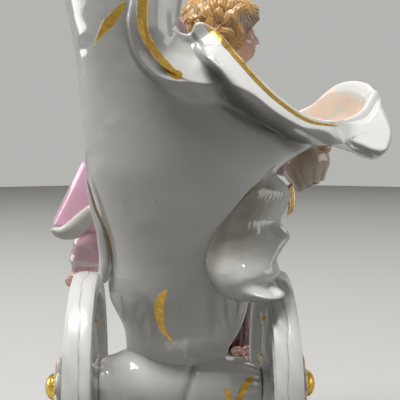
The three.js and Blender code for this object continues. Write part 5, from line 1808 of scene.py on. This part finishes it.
class MakeStage(bpy.types.Operator):
    """Set up the floor, the lamps, the background and the camera"""

    bl_idname = "cartvase.stage"
    bl_label = "Stage"

    def execute(self, context):
        look = context.scene.cartvase_stage
        self.floor(context, look)
        self.lamps(context, look)
        self.camera(context)
        self.world(context, look)
        context.scene.view_settings.view_transform = "Standard"
        return {"FINISHED"}

    def floor(self, context, look):
        sides = 128
        rim = [(FLOOR_RADIUS * math.cos(a), FLOOR_RADIUS * math.sin(a), 0) for a in around(sides)]
        mesh = bpy.data.meshes.new("floor")
        mesh.from_pydata(rim, [], [tuple(range(sides))])
        mesh.materials.append(stage_material("floor_paint", look.floor, FLOOR_DIMMING))
        floor = bpy.data.objects.new("floor", mesh)
        context.scene.collection.objects.link(floor)

    def world(self, context, look):
        """The background colour for the camera, and a dim glow for the object."""
        world = bpy.data.worlds.new("studio")
        context.scene.world = world
        world.use_nodes = True
        tree = world.node_tree
        rays = add_node(tree, "ShaderNodeLightPath").outputs
        seen = rays["Is Camera Ray"]
        for kind in ("Is Transmission Ray", "Is Glossy Ray"):
            either = add_node(tree, "ShaderNodeMath", {"operation": "MAXIMUM"}, [seen, rays[kind]])
            seen = either.outputs[0]
        shown = add_node(tree, "ShaderNodeMix", {"data_type": "RGBA"},
                         {0: seen, 6: AMBIENT, 7: rgba(look.wall)}).outputs[2]
        tree.links.new(shown, tree.nodes["Background"].inputs["Color"])

    def lamps(self, context, look):
        # name, place in metres, aim, width, depth, power
        rows = [
            ("lamp_top", (-0.24, -0.22, 1.18), (0, 0, 0.1), 0.8, 0.35, look.lamp),
            ("lamp_left", (-1.05, 0.42, 0.4), (0, 0.03, 0.1), 0.5, 0.6, 0.24 * look.lamp),
            ("lamp_right", (1.05, -0.2, 0.35), (0, 0, 0.1), 0.5, 0.6, 0.13 * look.lamp),
            ("lamp_front", (0.5, -1.2, 0.5), (0, 0, 0.12), 0.6, 0.6, 0.02 * look.lamp),
            ("lamp_back", (0.5, 1.0, 0.9), (0, 0, 0.12), 0.8, 0.6, 0.14 * look.lamp),
            ("lamp_strip", (0.1, -0.12, 1.0), (0, 0, 0.15), 0.7, 0.02, 0.05 * look.lamp),
        ]
        for name, at, aim, width, depth, power in rows:
            light = bpy.data.lights.new(name, "AREA")
            light.shape = "RECTANGLE"
            light.size, light.size_y = width, depth
            light.energy = power
            lamp = bpy.data.objects.new(name, light)
            back = unit(np.array(at) - np.array(aim))
            right = unit(np.cross((0, 1, 0.001), back))
            lamp.matrix_world = standing(right, np.cross(back, right), back, at)
            context.scene.collection.objects.link(lamp)

    def camera(self, context):
        eye = (np.array(EYE) + ORIGIN) * MM
        level_part = math.cos(CAMERA_PITCH)
        ahead = np.array([math.sin(CAMERA_TURN) * level_part, math.cos(CAMERA_TURN) * level_part,
                          -math.sin(CAMERA_PITCH)])
        right = np.array([math.cos(CAMERA_TURN), -math.sin(CAMERA_TURN), 0])
        data = bpy.data.cameras.new("camera")
        data.lens, data.sensor_width = LENS, 36
        data.clip_start = 0.01
        camera = bpy.data.objects.new("camera", data)
        camera.matrix_world = standing(right, np.cross(right, ahead), -ahead, eye)
        context.scene.collection.objects.link(camera)
        context.scene.camera = camera


SETTINGS = {
    "cartvase_vase": VaseSettings, "cartvase_cart": CartSettings, "cartvase_ground": GroundSettings,
    "cartvase_figure": FigureSettings, "cartvase_stage": StageSettings,
}
OPERATORS = [MakeStage, MakeVase, MakeTrims, MakeCart, MakeGround, MakeDress, MakeFigure]


class CartVasePanel(bpy.types.Panel):
    bl_label = "Cornucopia Cart Vase"
    bl_idname = "CARTVASE_PT_panel"
    bl_space_type = "VIEW_3D"
    bl_region_type = "UI"
    bl_category = "Cart Vase"

    def draw(self, context):
        for name, group in SETTINGS.items():
            box = self.layout.box()
            for key in group.__annotations__:
                box.prop(getattr(context.scene, name), key)
        for operator in OPERATORS:
            self.layout.operator(operator.bl_idname)


def register():
    for kind in (*SETTINGS.values(), *OPERATORS, CartVasePanel):
        bpy.utils.register_class(kind)
    for name, group in SETTINGS.items():
        setattr(bpy.types.Scene, name, bpy.props.PointerProperty(type=group))


def unregister():
    for name in SETTINGS:
        delattr(bpy.types.Scene, name)
    for kind in (CartVasePanel, *reversed(OPERATORS), *reversed(SETTINGS.values())):
        bpy.utils.unregister_class(kind)


def main():
    register()
    for operator in OPERATORS:
        family, name = operator.bl_idname.split(".")
        getattr(getattr(bpy.ops, family), name)()


if __name__ == "__main__":
    main()
